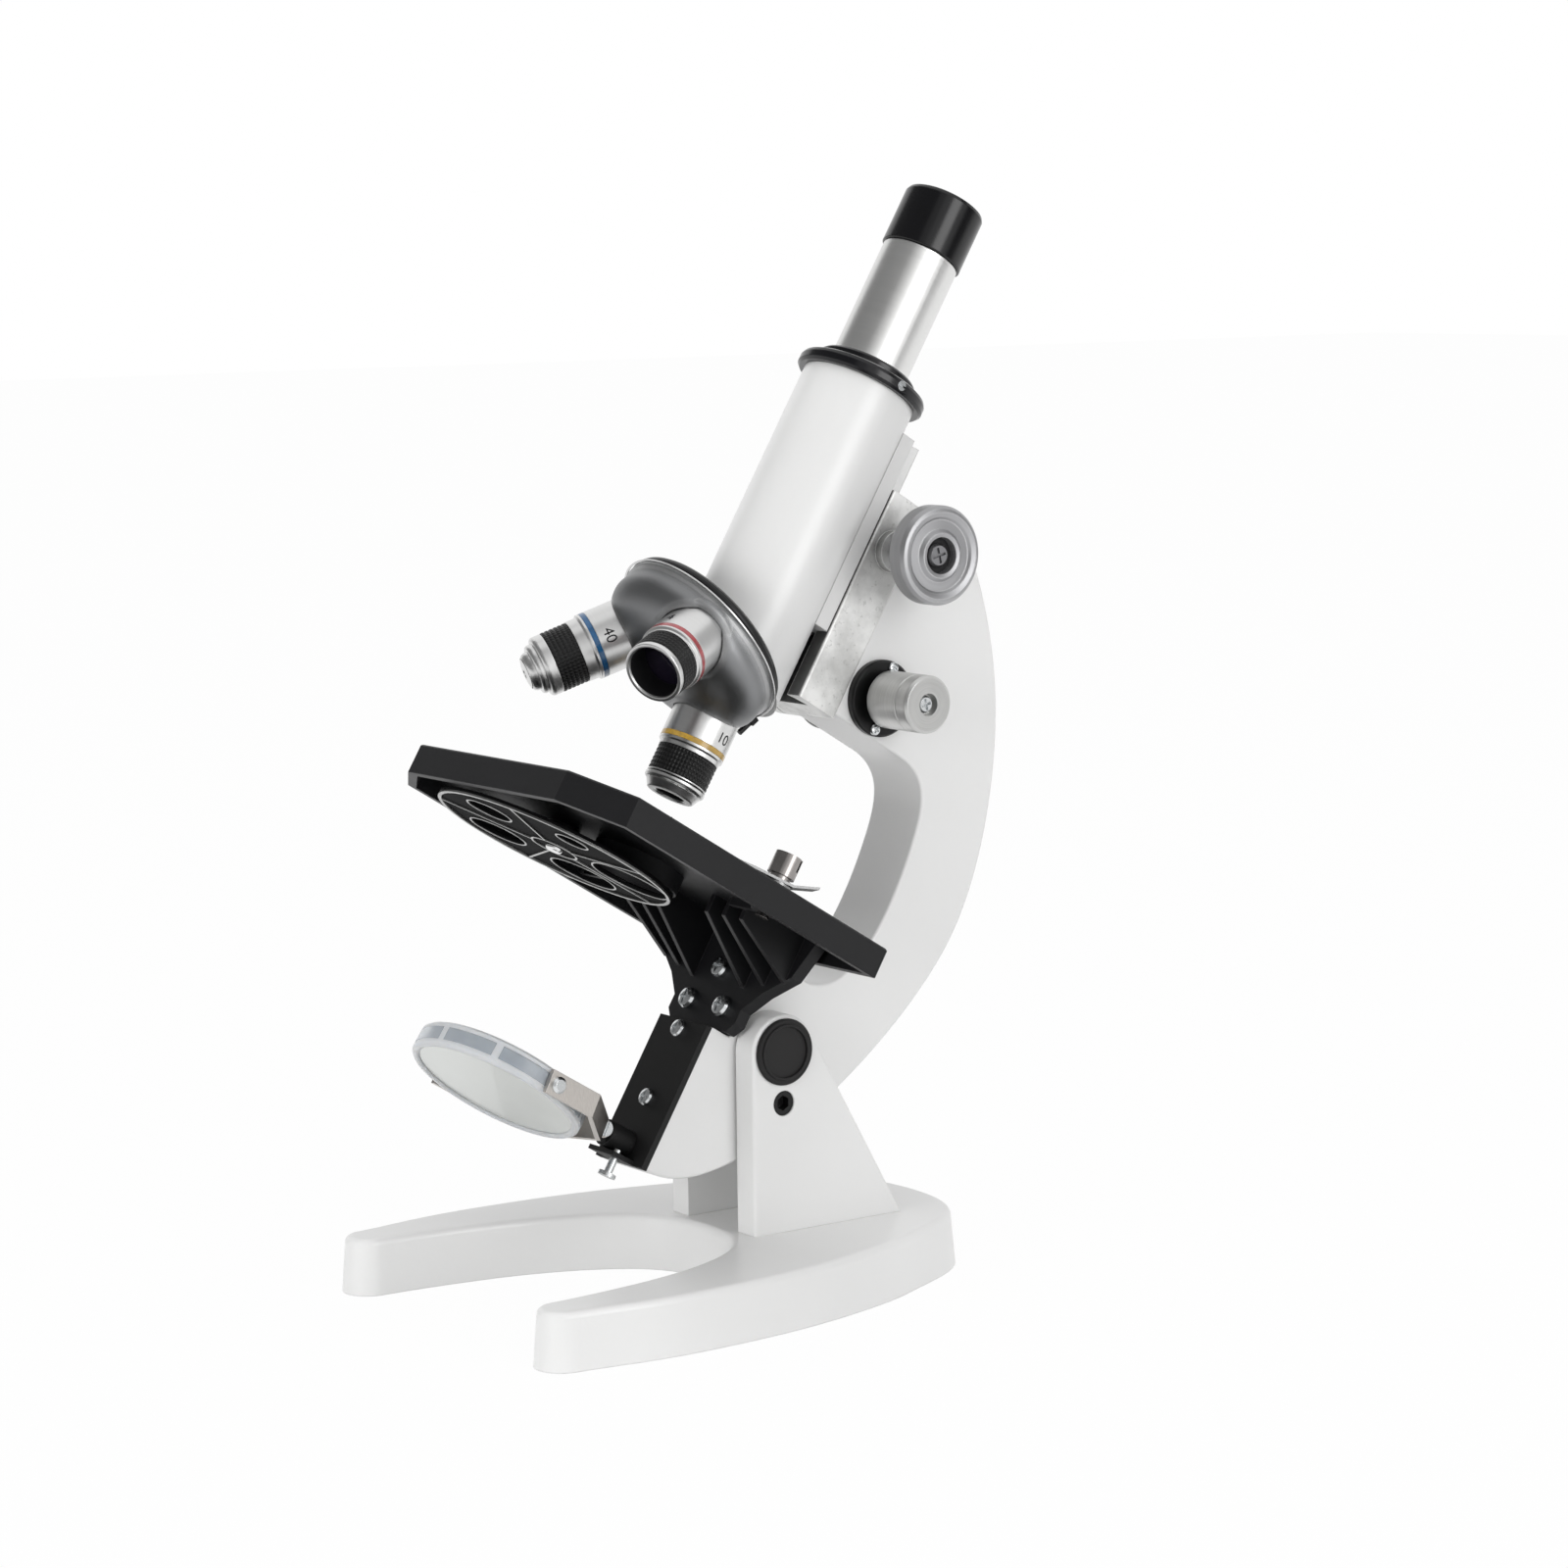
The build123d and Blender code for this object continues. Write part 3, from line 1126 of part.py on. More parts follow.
# ---------------------------------------------------------------- build and write
def write_all():
    os.makedirs("parts", exist_ok=True)
    right_pillar = make_pillar()
    save("base_casting", make_base())
    save("pillar_right", right_pillar)
    save("pillar_left", mirrored(right_pillar))
    save("pillar_bolts", *make_pillar_bolts())
    reach = pillar_outside - 0.2
    save("hinge_shaft", rod_x(hinge_shaft_radius, -reach, reach, hinge_y, hinge_z))
    save("pivot_caps", make_pivot_cap(), mirrored(make_pivot_cap()))
    save("tension_screws", make_tension_screw(), mirrored(make_tension_screw()))
    save("hinge_washers", make_hinge_washer(), mirrored(make_hinge_washer()))

    save_leaned("limb_casting", make_limb())
    save_leaned("stage", make_stage())
    save_leaned("stage_screws", *make_stage_screws())
    save_leaned("stop_disc", make_disc())
    save_leaned("stop_disc_rivet", make_disc_rivet())
    for side, hand in ((1, "right"), (-1, "left")):
        save_leaned(f"stage_clip_{hand}", make_clip(side))
        save_leaned(f"coarse_knob_{hand}", make_coarse_knob(side))
    save_leaned("clip_screws", make_clip_screw(1), make_clip_screw(-1))

    save_leaned("mirror_bar", make_bar())
    save_leaned("mirror_bar_screws", *make_bar_screws())
    save_leaned("mirror_barrel", make_barrel())
    save_leaned("thumb_screw", make_thumb_screw())
    save_leaned("mirror_fork", make_fork())
    save_leaned("fork_screw", make_fork_screw())
    save_leaned("mirror_frame", make_mirror_frame())
    save_leaned("mirror_glasses", *make_mirror_glasses())
    save_leaned("mirror_screws", *make_mirror_screws())

    save_leaned("focus_guide", make_guide())
    save_leaned("coarse_shaft", make_coarse_shaft())
    coarse_end = knob_face - coarse_recess_depth
    save_leaned("coarse_knob_screws", *[turned_screw(side, coarse_end, coarse_y, coarse_z, 3.6, 1.7)
                                        for side in (1, -1)])
    save_leaned("fine_shaft", make_fine_shaft())
    save_leaned("fine_knobs", make_fine_knob(1), make_fine_knob(-1))
    save_leaned("fine_flanges", make_fine_flange(1), make_fine_flange(-1))
    fine_end = knob_face - fine_recess_depth
    save_leaned("fine_knob_screws", *[turned_screw(side, fine_end, fine_y, fine_z, 2.6, 1.9)
                                      for side in (1, -1)])
    save_leaned("flange_screws", *make_flange_screws())
    save_leaned("fine_lever", make_fine_lever())
    save_leaned("lever_pin", make_lever_pin())
    save_leaned("return_spring", make_return_spring())

    save_leaned("body_tube", make_tube())
    save_leaned("tube_carriage", make_carriage())
    save_leaned("carriage_screws", *make_carriage_screws())
    save_leaned("focus_rack", make_rack())
    save_leaned("tube_collar", make_collar())
    save_leaned("collar_screw", make_collar_screw())
    save_leaned("draw_tube", make_draw_tube())
    save_leaned("eyepiece_barrel", make_eyepiece_barrel())
    save_leaned("eyecup", make_eyecup())
    save_leaned("eyepiece_lenses", make_eye_lens(), make_field_lens())

    save_leaned("nosepiece_plate", make_nosepiece_plate())
    save_leaned("nosepiece_bolt", make_nosepiece_bolt())
    save_leaned("click_stop", make_click_stop())
    save_leaned("turret", make_turret())
    for place, (name, start, end, radius, steps, lens_radius) in zip(objective_places, objectives):
        frame = objective_frame(place)
        save_leaned(name, frame * make_objective(start, end, radius, steps, lens_radius))
        save_leaned(f"{name}_grip", frame * make_grip(start, end, radius))
    lenses = []
    for place, (_, _, _, _, steps, lens_radius) in zip(objective_places, objectives):
        lenses.append(objective_frame(place) * make_objective_lens(steps[-1][1], lens_radius))
    save_leaned("objective_lenses", *lenses)


write_all()
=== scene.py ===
# %% [markdown]
# # A student microscope
# The microscope stands on a white horseshoe base.  A curved limb leans back on a hinge and
# carries everything else: the stage, the mirror, and the body tube with its three objectives.
# The shapes come from the CAD parts.  This notebook gives each of them its real finish and
# adds the fine things that are too small for CAD: knurling, enamel rings, engraved numbers,
# the pressed rings of the stop disc and the windows of the mirror ring.

# %% Load the frame
import json
import math
import bpy
import bmesh
from mathutils import Matrix, Vector


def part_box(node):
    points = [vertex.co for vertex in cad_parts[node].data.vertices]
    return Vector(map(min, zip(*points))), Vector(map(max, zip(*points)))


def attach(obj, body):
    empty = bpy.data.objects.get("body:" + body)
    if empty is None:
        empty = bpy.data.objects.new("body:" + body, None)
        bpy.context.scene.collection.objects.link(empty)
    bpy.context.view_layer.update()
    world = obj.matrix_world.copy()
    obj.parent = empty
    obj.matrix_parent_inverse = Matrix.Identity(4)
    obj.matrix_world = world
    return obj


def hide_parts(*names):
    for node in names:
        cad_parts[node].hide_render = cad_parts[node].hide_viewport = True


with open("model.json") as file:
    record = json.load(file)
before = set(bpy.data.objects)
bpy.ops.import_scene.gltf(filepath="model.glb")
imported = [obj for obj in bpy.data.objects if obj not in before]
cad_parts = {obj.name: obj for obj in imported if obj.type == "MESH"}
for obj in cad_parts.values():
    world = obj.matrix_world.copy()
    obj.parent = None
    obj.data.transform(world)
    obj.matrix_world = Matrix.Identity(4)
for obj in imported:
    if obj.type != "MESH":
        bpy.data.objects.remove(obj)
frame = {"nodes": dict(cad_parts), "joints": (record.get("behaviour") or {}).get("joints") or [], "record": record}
nodes = frame["nodes"]
joints = {joint["name"]: joint for joint in frame["joints"]}
mounts = {mount["name"]: mount for mount in frame["record"]["mounts"]}
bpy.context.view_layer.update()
mm = 0.001


def in_scene(name, data):
    """A new object in the scene."""
    thing = bpy.data.objects.new(name, data)
    bpy.context.scene.collection.objects.link(thing)
    return thing


# %% [markdown]
# ## The lines that everything is built on
# A lathe makes most of a microscope, so most pieces belong to a line: the optical axis, the
# axis that the objectives turn on, the axes of the two focus knobs.  The record holds these
# lines, and the sizes below are measured along them from where they meet.

# %% Lines of the instrument
up = Vector(joints["coarse_slide"]["axis"]).normalized()
across = Vector((1, 0, 0))
backward = up.cross(across).normalized()
hinge = Vector(joints["limb_tilt"]["pos_m"])


def line_of(joint):
    """A point on a joint's line, and the line's direction."""
    return Vector(joints[joint]["pos_m"]), Vector(joints[joint]["axis"]).normalized()


def crossing(point_a, along_a, point_b, along_b):
    """Where two lines that cross meet, measured on the first."""
    between = point_b - point_a
    dot = along_a.dot(along_b)
    return point_a + along_a * (between.dot(along_a) - between.dot(along_b) * dot) / (1 - dot * dot)


optical_point = Vector(mounts["eyecup_outside"]["pos_m"])
turret_point, turret_axis = line_of("turret_turn")
apex = crossing(optical_point, up, turret_point, turret_axis)
objective_axes = {
    "objective_10x": -up,
    "objective_4x": Matrix.Rotation(math.radians(120), 3, turret_axis) @ -up,
    "objective_40x": Matrix.Rotation(math.radians(-120), 3, turret_axis) @ -up,
}


def span(node, origin, direction):
    """The lowest and highest place of a node along a line, and its greatest radius about it."""
    low, high, radius = 1e9, -1e9, 0.0
    for vertex in nodes[node].data.vertices:
        offset = vertex.co - origin
        along = offset.dot(direction)
        low, high = min(low, along), max(high, along)
        radius = max(radius, (offset - direction * along).length)
    return low, high, radius


for name, direction in objective_axes.items():
    reach = tuple(value / mm for value in span(name, apex, direction))
    print(name, "runs from %.1f to %.1f mm, radius %.1f mm" % reach)

# %% [markdown]
# ## Shader maths as Python
# A finish is a small sum: a colour, some grain, a little wear.  Written as nodes it is hard to
# read, so one small class wraps the output of a node.  Adding or multiplying two of them adds
# a Math node.  A second class adds every other kind of node and joins them.

# %% One output of a node
class Wire:
    """The output of a node, in a tree of any kind."""

    def __init__(self, tree, socket):
        self.tree = tree
        self.socket = socket

    def out(self, name):
        """Another output of the same node."""
        return Wire(self.tree, self.socket.node.outputs[name])

    def maths(self, operation, *others):
        inputs = dict(enumerate((self, *others)))
        return self.tree.add("ShaderNodeMath", {"operation": operation}, inputs)

    def __add__(self, other):
        return self.maths("ADD", other)

    def __mul__(self, other):
        return self.maths("MULTIPLY", other)

    def __sub__(self, other):
        return self.maths("SUBTRACT", other)

    def __truediv__(self, other):
        return self.maths("DIVIDE", other)

    def __gt__(self, other):
        return self.maths("GREATER_THAN", other)

    def __lt__(self, other):
        return self.maths("LESS_THAN", other)

    def __rsub__(self, other):
        return self * -1.0 + other

    def __rtruediv__(self, other):
        return self.maths("POWER", -1.0) * other

    def clamped(self):
        return self.maths("MINIMUM", 1.0).maths("MAXIMUM", 0.0)

    def between(self, low, high):
        """0 under low, 1 over high, and smooth between them."""
        inputs = {"Value": self, "From Min": low, "From Max": high}
        return self.tree.add("ShaderNodeMapRange", {"interpolation_type": "SMOOTHSTEP"}, inputs)


# %% A tree of nodes
class Tree:
    """A node tree, with one method that adds any node and returns its first output."""

    def __init__(self, tree):
        self.tree = tree

    def add(self, kind, settings=None, inputs=None, output=0):
        node = self.tree.nodes.new(kind)
        for name, value in (settings or {}).items():
            setattr(node, name, value)
        for name, value in (inputs or {}).items():
            if isinstance(value, Wire):
                self.join(value, node.inputs[name])
            else:
                node.inputs[name].default_value = value
        return Wire(self, node.outputs[output])

    def join(self, wire, socket):
        self.tree.links.new(wire.socket, socket)

    def mix(self, factor, first, second):
        """A colour between two colours."""
        return self.add("ShaderNodeMix", {"data_type": "RGBA"}, {0: factor, 6: first, 7: second}, 2)

    def vector(self, x, y, z):
        return self.add("ShaderNodeCombineXYZ", None, {0: x, 1: y, 2: z})


def colour(red, green, blue):
    return (red, green, blue, 1.0)


print("shader maths ready")

# %% [markdown]
# ## A finish
# Every finish starts the same way: a Principled BSDF that reads Object coordinates, so that
# the grain keeps its real size on every piece.  The CAD edges are mathematically sharp, and
# real edges never are.  A Bevel node rounds them in the shading, and the difference between
# that rounded direction and the true one tells where an edge is, for wear.

# %% The start of every finish
class Finish(Tree):
    """A material with a Principled BSDF, grain in Object coordinates and softened edges."""

    def __init__(self, name, edge_radius=0.0003, **constants):
        self.material = bpy.data.materials.new(name)
        self.material.use_nodes = True
        super().__init__(self.material.node_tree)
        self.shader = self.tree.nodes["Principled BSDF"]
        for socket, value in constants.items():
            self.shader.inputs[socket.replace("_", " ")].default_value = value
        self.place = self.add("ShaderNodeTexCoord").out("Object")
        self.rounded = self.add("ShaderNodeBevel", {"samples": 4}, {"Radius": edge_radius})
        self.normal = self.rounded

    def edges(self):
        """1 on a sharp edge, 0 on a face."""
        true = self.add("ShaderNodeNewGeometry").out("Normal")
        pair = {0: self.rounded, 1: true}
        dot = self.add("ShaderNodeVectorMath", {"operation": "DOT_PRODUCT"}, pair, "Value")
        return (1 - dot).between(0.004, 0.10)

    def noise(self, per_metre, detail=3.0, rough=0.5, place=None):
        """Grey noise with a number of grains in each metre."""
        inputs = {"Vector": place or self.place, "Scale": per_metre, "Detail": detail, "Roughness": rough}
        return self.add("ShaderNodeTexNoise", None, inputs, "Fac")

    def bump(self, height, depth, strength=1.0):
        """Raise the surface by height, a wire from 0 to 1, times a depth in metres."""
        inputs = {"Height": height, "Distance": depth, "Strength": strength, "Normal": self.normal}
        self.normal = self.add("ShaderNodeBump", None, inputs)

    def done(self, **links):
        """Join the wires to the shader and return the material."""
        links.setdefault("Normal", self.normal)
        for socket, wire in links.items():
            self.join(wire, self.shader.inputs[socket.replace("_", " ")])
        return self.material


def finish_nodes(material, *names):
    """Give CAD nodes a finish."""
    for name in names:
        mesh = nodes[name].data
        mesh.materials.clear()
        mesh.materials.append(material)


print("finishes start from one Principled BSDF each")

# %% [markdown]
# ## White enamel
# The base, the pillars, the limb and the body tube are castings and a tube, sprayed white and
# baked.  Baked enamel isn't flat: it holds a faint orange peel about a millimetre wide and is a
# little thinner, and so a little warmer, along the edges.  Two sizes of noise make the peel.  The
# tube's enamel is a shade darker than the castings': painted shade on the tube.

# %% White enamel
def white_enamel(name, shade, roughness, peel):
    finish = Finish(name, edge_radius=0.0005, Specular_IOR_Level=0.5, Coat_Weight=0.30, Coat_Roughness=0.24)
    cloud = finish.noise(14.0, 2.0)
    orange_peel = finish.noise(900.0, 2.0) * 0.7 + finish.noise(240.0, 1.0) * 0.3
    specks = finish.noise(3200.0, 1.0).between(0.74, 0.80)
    finish.bump(orange_peel, peel)
    body = finish.mix(cloud.between(0.3, 0.7), colour(*shade), colour(*[v * 0.965 for v in shade]))
    thin = colour(shade[0] * 0.95, shade[1] * 0.94, shade[2] * 0.92)
    body = finish.mix(finish.edges() * 0.35, body, thin)
    body = finish.mix(specks * 0.10, body, colour(0.55, 0.55, 0.53))
    return finish.done(Base_Color=body, Roughness=cloud * 0.08 + roughness)


casting_enamel = white_enamel("enamel_castings", (0.835, 0.835, 0.83), 0.30, 0.00005)
# Painted shade: the tube gets a darker copy of the same white enamel.
painted_shade_tube_enamel = white_enamel("enamel_tube", (0.775, 0.775, 0.77), 0.27, 0.00003)
finish_nodes(casting_enamel, "base_casting", "pillar_right", "pillar_left", "limb_casting")
finish_nodes(painted_shade_tube_enamel, "body_tube", "tube_carriage")
print("white enamel on the castings and on the tube")

# %% [markdown]
# ## Black paint and black plastic
# The stage, the mirror bar and the fixed plate are painted satin black.  The paint is finely
# textured, and it has worn a little grey on the corners that hands touch.  The collar and the
# eyecup are smoother, and glossier.

# %% Black finishes
def black_paint(name, shade, roughness, grain_depth, worn, gloss=0.28):
    finish = Finish(name, edge_radius=0.0004, Specular_IOR_Level=gloss)
    grain = finish.noise(2600.0, 3.0, 0.6)
    handling = finish.noise(60.0, 4.0)
    finish.bump(grain, grain_depth)
    wear = (finish.edges() * handling.between(0.35, 0.75)) * worn
    body = finish.mix(handling, colour(*[v * 0.8 for v in shade]), colour(*[v * 1.25 for v in shade]))
    body = finish.mix(wear, body, colour(0.22, 0.22, 0.22))
    return finish.done(Base_Color=body, Roughness=(handling - 0.5) * 0.14 + roughness)


stage_black = black_paint("black_stage_paint", (0.0085, 0.0085, 0.0095), 0.46, 0.00003, 0.16)
bar_black = black_paint("black_bar_paint", (0.0080, 0.0080, 0.0082), 0.52, 0.00003, 0.12)
flange_black = black_paint("black_flange", (0.0060, 0.0060, 0.0062), 0.32, 0.00001, 0.12)
plate_black = black_paint("black_nosepiece_plate", (0.0060, 0.0060, 0.0065), 0.30, 0.00001, 0.30)
cap_black = black_paint("black_cap_plastic", (0.0125, 0.0120, 0.0122), 0.55, 0.00002, 0.0)
collar_black = black_paint("black_collar", (0.0030, 0.0030, 0.0045), 0.19, 0.000001, 0.06, 0.40)
eyecup_black = black_paint("black_eyecup", (0.0020, 0.0020, 0.0028), 0.19, 0.000001, 0.0, 0.40)
grip_black = black_paint("black_grip", (0.0060, 0.0060, 0.0062), 0.28, 0.000003, 0.10)
finish_nodes(stage_black, "stage")
finish_nodes(bar_black, "mirror_bar", "mirror_barrel")
finish_nodes(flange_black, "fine_flanges", "tension_screws")
finish_nodes(plate_black, "nosepiece_plate", "click_stop")
finish_nodes(cap_black, "pivot_caps", "hinge_washers")
finish_nodes(collar_black, "tube_collar")
finish_nodes(eyecup_black, "eyecup")
print("black finishes done")

# %% [markdown]
# ## Turned metal
# A lathe leaves a fine spiral of tool marks that runs round the piece, so highlights stretch
# along the axis and faces show concentric rings.  The marks need two numbers: how far a point
# is along the axis, and how far out from it.  A Mapping node turns the piece's axis onto Z,
# and noise that is read thousands of times finer along those two numbers than around draws
# the marks.

# %% Turned metal
def lathe_place(finish, origin, direction):
    """A point's place along and away from a line, and its direction round it."""
    turn = direction.to_track_quat("Z", "Y").inverted()
    place = finish.add("ShaderNodeMapping", {"vector_type": "POINT"}, {
        "Vector": finish.place,
        "Rotation": turn.to_euler(),
        "Location": -(turn @ origin)})
    split = finish.add("ShaderNodeSeparateXYZ", None, {0: place})
    x, y, along = split.out("X"), split.out("Y"), split.out("Z")
    radius = (x * x + y * y).maths("SQRT")
    return x, y, along, radius


def turned_metal(name, origin, direction, shade, roughness, marks_per_metre=2500.0, stain=0.02,
                 edge_radius=0.0002, dark_inside=0.0):
    finish = Finish(name, edge_radius=edge_radius)
    x, y, along, radius = lathe_place(finish, origin, direction)
    round_about = 60.0
    marks = finish.noise(1.0, 2.0, 0.7, finish.vector((along + radius) * marks_per_metre, x * round_about,
                                                      y * round_about))
    broad = finish.noise(1.0, 1.0, 0.5, finish.vector((along + radius * 1.3) * 900.0, x * 20.0, y * 20.0))
    cloud = finish.noise(120.0, 3.0)
    finish.bump(broad, 0.000002)
    tone = marks * 0.5 + broad * 0.3 + cloud * 0.2
    dark = colour(*[v * (1 - 2.2 * stain) for v in shade])
    bright = colour(*[min(1.0, v * (1 + stain)) for v in shade])
    body = finish.mix(tone.between(0.3, 0.7), dark, bright)
    body = finish.mix(finish.edges() * 0.4, body, colour(0.92, 0.92, 0.92))
    inside = 1 - radius.between(dark_inside - 0.00002, dark_inside + 0.00002)
    body = finish.mix(inside, body, colour(0.006, 0.006, 0.007))
    return finish.done(Base_Color=body, Roughness=(tone - 0.5) * 0.16 + roughness + inside * 0.2,
                       Metallic=1 - inside)


turret_satin = turned_metal("turret_satin", apex, turret_axis, (0.26, 0.264, 0.27), 0.43,
                            1200.0, 0.02, 0.0035)
finish_nodes(turret_satin, "turret", "nosepiece_bolt")
draw_metal = turned_metal("draw_tube_satin_chrome", optical_point, up, (0.80, 0.80, 0.79), 0.33,
                          1200.0, 0.01)
finish_nodes(draw_metal, "draw_tube", "eyepiece_barrel")
coarse_point, coarse_axis = line_of("coarse_turn")
fine_point, fine_axis = line_of("fine_turn")
coarse_bore = 0.0054
coarse_metal = turned_metal("coarse_knob_metal", coarse_point, coarse_axis, (0.41, 0.41, 0.42), 0.44,
                            1800.0, 0.04, 0.0005, coarse_bore)
finish_nodes(coarse_metal, "coarse_knob_right", "coarse_knob_left")
fine_metal = turned_metal("fine_knob_metal", fine_point, fine_axis, (0.58, 0.58, 0.57), 0.34,
                          3000.0, 0.06, 0.0003)
finish_nodes(fine_metal, "fine_knobs")
steel = (0.56, 0.56, 0.57)
for shaft, point, axis in (("coarse", coarse_point, coarse_axis), ("fine", fine_point, fine_axis),
                           ("hinge", hinge, across)):
    finish_nodes(turned_metal("shaft_steel_" + shaft, point, axis, steel, 0.30), shaft + "_shaft")
print("turned metal on the lathe-made pieces")

# %% [markdown]
# ## Plated, cast and stamped metal
# The guide is an aluminium casting: its faces keep the grain of the mould, and only the faces
# that slide are machined.  Its corners, where little sky is seen, are painted dark: painted shade.
# Screws are plated, which is smoother and slightly bluish or warm.  The fork is a
# nickel-plated strip and the clips are spring steel, and both are brushed.

# %% Plated, cast and stamped metal
def plated_metal(name, shade, roughness, spots=0.05):
    finish = Finish(name, edge_radius=0.00015, Metallic=1.0)
    cloud = finish.noise(300.0, 3.0)
    fine = finish.noise(4000.0, 2.0)
    finish.bump(fine, 0.000002)
    spotted = colour(*[v * (1 - 2 * spots) for v in shade])
    body = finish.mix(cloud.between(0.35, 0.75), colour(*shade), spotted)
    return finish.done(Base_Color=body, Roughness=cloud * 0.10 + fine * 0.05 + roughness - 0.07)


def cast_aluminium(name):
    finish = Finish(name, edge_radius=0.0004, Metallic=1.0)
    sand = finish.noise(1500.0, 4.0, 0.65)
    cloud = finish.noise(90.0, 4.0, 0.6)
    pits = finish.noise(700.0, 2.0).between(0.60, 0.72)
    finish.bump(sand, 0.00005, 0.7)
    body = finish.mix(cloud.between(0.3, 0.7), colour(0.60, 0.60, 0.59), colour(0.84, 0.84, 0.83))
    body = finish.mix(pits * 0.35, body, colour(0.35, 0.35, 0.34))
    # Painted shade: where the Ambient Occlusion node finds little open sky, the colour goes nearly black.
    open_sky = finish.add("ShaderNodeAmbientOcclusion", {"samples": 8}, {"Distance": 0.012}, "AO")
    body = finish.mix((1 - open_sky).between(0.15, 0.75) * 0.85, body, colour(0.05, 0.05, 0.05))
    body = finish.mix(finish.edges() * 0.8, body, colour(0.95, 0.95, 0.94))
    return finish.done(Base_Color=body, Roughness=sand * 0.20 + 0.44 - finish.edges() * 0.12)


def brushed_strip(name, direction, shade, roughness):
    finish = Finish(name, edge_radius=0.0002, Metallic=1.0)
    turn = direction.to_track_quat("Z", "Y").inverted()
    place = finish.add("ShaderNodeMapping", {"vector_type": "POINT"}, {
        "Vector": finish.place, "Rotation": turn.to_euler(), "Scale": (5000.0, 5000.0, 60.0)})
    hairlines = finish.noise(1.0, 2.0, 0.7, place)
    finish.bump(hairlines, 0.000003)
    body = finish.mix(hairlines.between(0.3, 0.7), colour(*shade), colour(*[v * 0.86 for v in shade]))
    return finish.done(Base_Color=body, Roughness=hairlines * 0.16 + roughness)


zinc = plated_metal("zinc_plate", (0.72, 0.74, 0.75), 0.22)
bright_plate = plated_metal("bright_plate", (0.82, 0.82, 0.82), 0.13)
nickel = brushed_strip("nickel_strip", -backward, (0.62, 0.585, 0.55), 0.24)
guide_metal = cast_aluminium("cast_aluminium")
lever_brass = plated_metal("brass_fittings", (0.72, 0.55, 0.24), 0.28, 0.10)
dark_steel = plated_metal("dark_steel", (0.30, 0.30, 0.31), 0.34, 0.10)
clip_plate = plated_metal("dark_nickel_plate", (0.34, 0.32, 0.31), 0.20)
clip_steel = brushed_strip("clip_spring_steel", -backward, (0.34, 0.34, 0.34), 0.32)
finish_nodes(zinc, "stage_screws", "mirror_bar_screws", "flange_screws", "collar_screw", "mirror_screws",
             "fork_screw", "carriage_screws", "pillar_bolts", "thumb_screw", "fine_knob_screws")
finish_nodes(clip_plate, "clip_screws")
finish_nodes(dark_steel, "coarse_knob_screws", "focus_rack", "lever_pin", "return_spring")
finish_nodes(nickel, "mirror_fork")
finish_nodes(guide_metal, "focus_guide")
finish_nodes(lever_brass, "fine_lever")
finish_nodes(clip_steel, "stage_clip_right", "stage_clip_left")
print("plated, cast and stamped metal done")

# %% [markdown]
# ## Glass, mirror and milky plastic
# A coated lens in a blackened tube sends almost nothing back, so it looks black with one sharp
# reflection, and a dark gloss shows that better than clear glass.  The mirror frame is milky
# polypropylene: light goes in, scatters, and comes out softer, so subsurface scattering and a
# little transmission carry it.

# %% Glass, mirror and milky plastic
def lens_glass(name):
    finish = Finish(name, edge_radius=0.0001, IOR=1.52, Coat_Weight=0.3)
    coating = finish.noise(90.0, 1.0)
    body = finish.mix(coating, colour(0.004, 0.005, 0.010), colour(0.010, 0.006, 0.014))
    return finish.done(Base_Color=body, Roughness=coating * 0.03 + 0.03)


def silvered_glass(name):
    finish = Finish(name, edge_radius=0.0001, Metallic=0.85, Coat_Weight=0.5, Coat_Roughness=0.05)
    haze = finish.noise(70.0, 4.0)
    dust = finish.noise(2500.0, 2.0).between(0.66, 0.76)
    body = finish.mix(haze, colour(0.64, 0.66, 0.64), colour(0.72, 0.74, 0.72))
    body = finish.mix(dust * 0.3, body, colour(0.75, 0.76, 0.74))
    return finish.done(Base_Color=body, Roughness=haze * 0.16 + dust * 0.2 + 0.34)


def milky_plastic(name, shade, light_shade, roughness):
    finish = Finish(name, edge_radius=0.0005, Subsurface_Weight=0.6, Subsurface_Scale=0.004, IOR=1.46,
                    Transmission_Weight=0.25)
    finish.shader.inputs["Subsurface Radius"].default_value = (1.0, 0.9, 0.8)
    flow = finish.noise(45.0, 3.0)
    grain = finish.noise(1800.0, 2.0)
    finish.bump(grain, 0.000008)
    body = finish.mix(flow.between(0.3, 0.7), colour(*shade), colour(*light_shade))
    return finish.done(Base_Color=body, Roughness=flow * 0.12 + roughness)


glass = lens_glass("coated_glass")
mirror_glass = silvered_glass("mirror_glass")
milky = milky_plastic("milky_plastic", (0.76, 0.78, 0.80), (0.84, 0.85, 0.86), 0.26)
finish_nodes(glass, "objective_lenses", "eyepiece_lenses")
finish_nodes(mirror_glass, "mirror_glasses")
finish_nodes(milky, "mirror_frame")
print("glass, mirror and milky plastic done")

# %% [markdown]
# ## Geometry Nodes
# Knurling, the spokes of a disc and the windows of a ring repeat one small shape many times,
# which is what Geometry Nodes are for.  A tree takes named sizes, so one tree serves pieces of
# several sizes.  The result is turned into a plain mesh, so nothing depends on the tree later.

# %% Helpers for Geometry Nodes
def new_tree(name, sizes):
    """A Geometry Nodes tree with a geometry input and one input for each named size."""
    group = bpy.data.node_groups.new(name, "GeometryNodeTree")
    group.interface.new_socket("Geometry", in_out="INPUT", socket_type="NodeSocketGeometry")
    for size, kind in sizes.items():
        group.interface.new_socket(size, in_out="INPUT", socket_type="NodeSocket" + kind)
    group.interface.new_socket("Geometry", in_out="OUTPUT", socket_type="NodeSocketGeometry")
    tree = Tree(group)
    given = tree.add("NodeGroupInput")
    tree.sizes = {size: given.out(size) for size in sizes}
    return tree


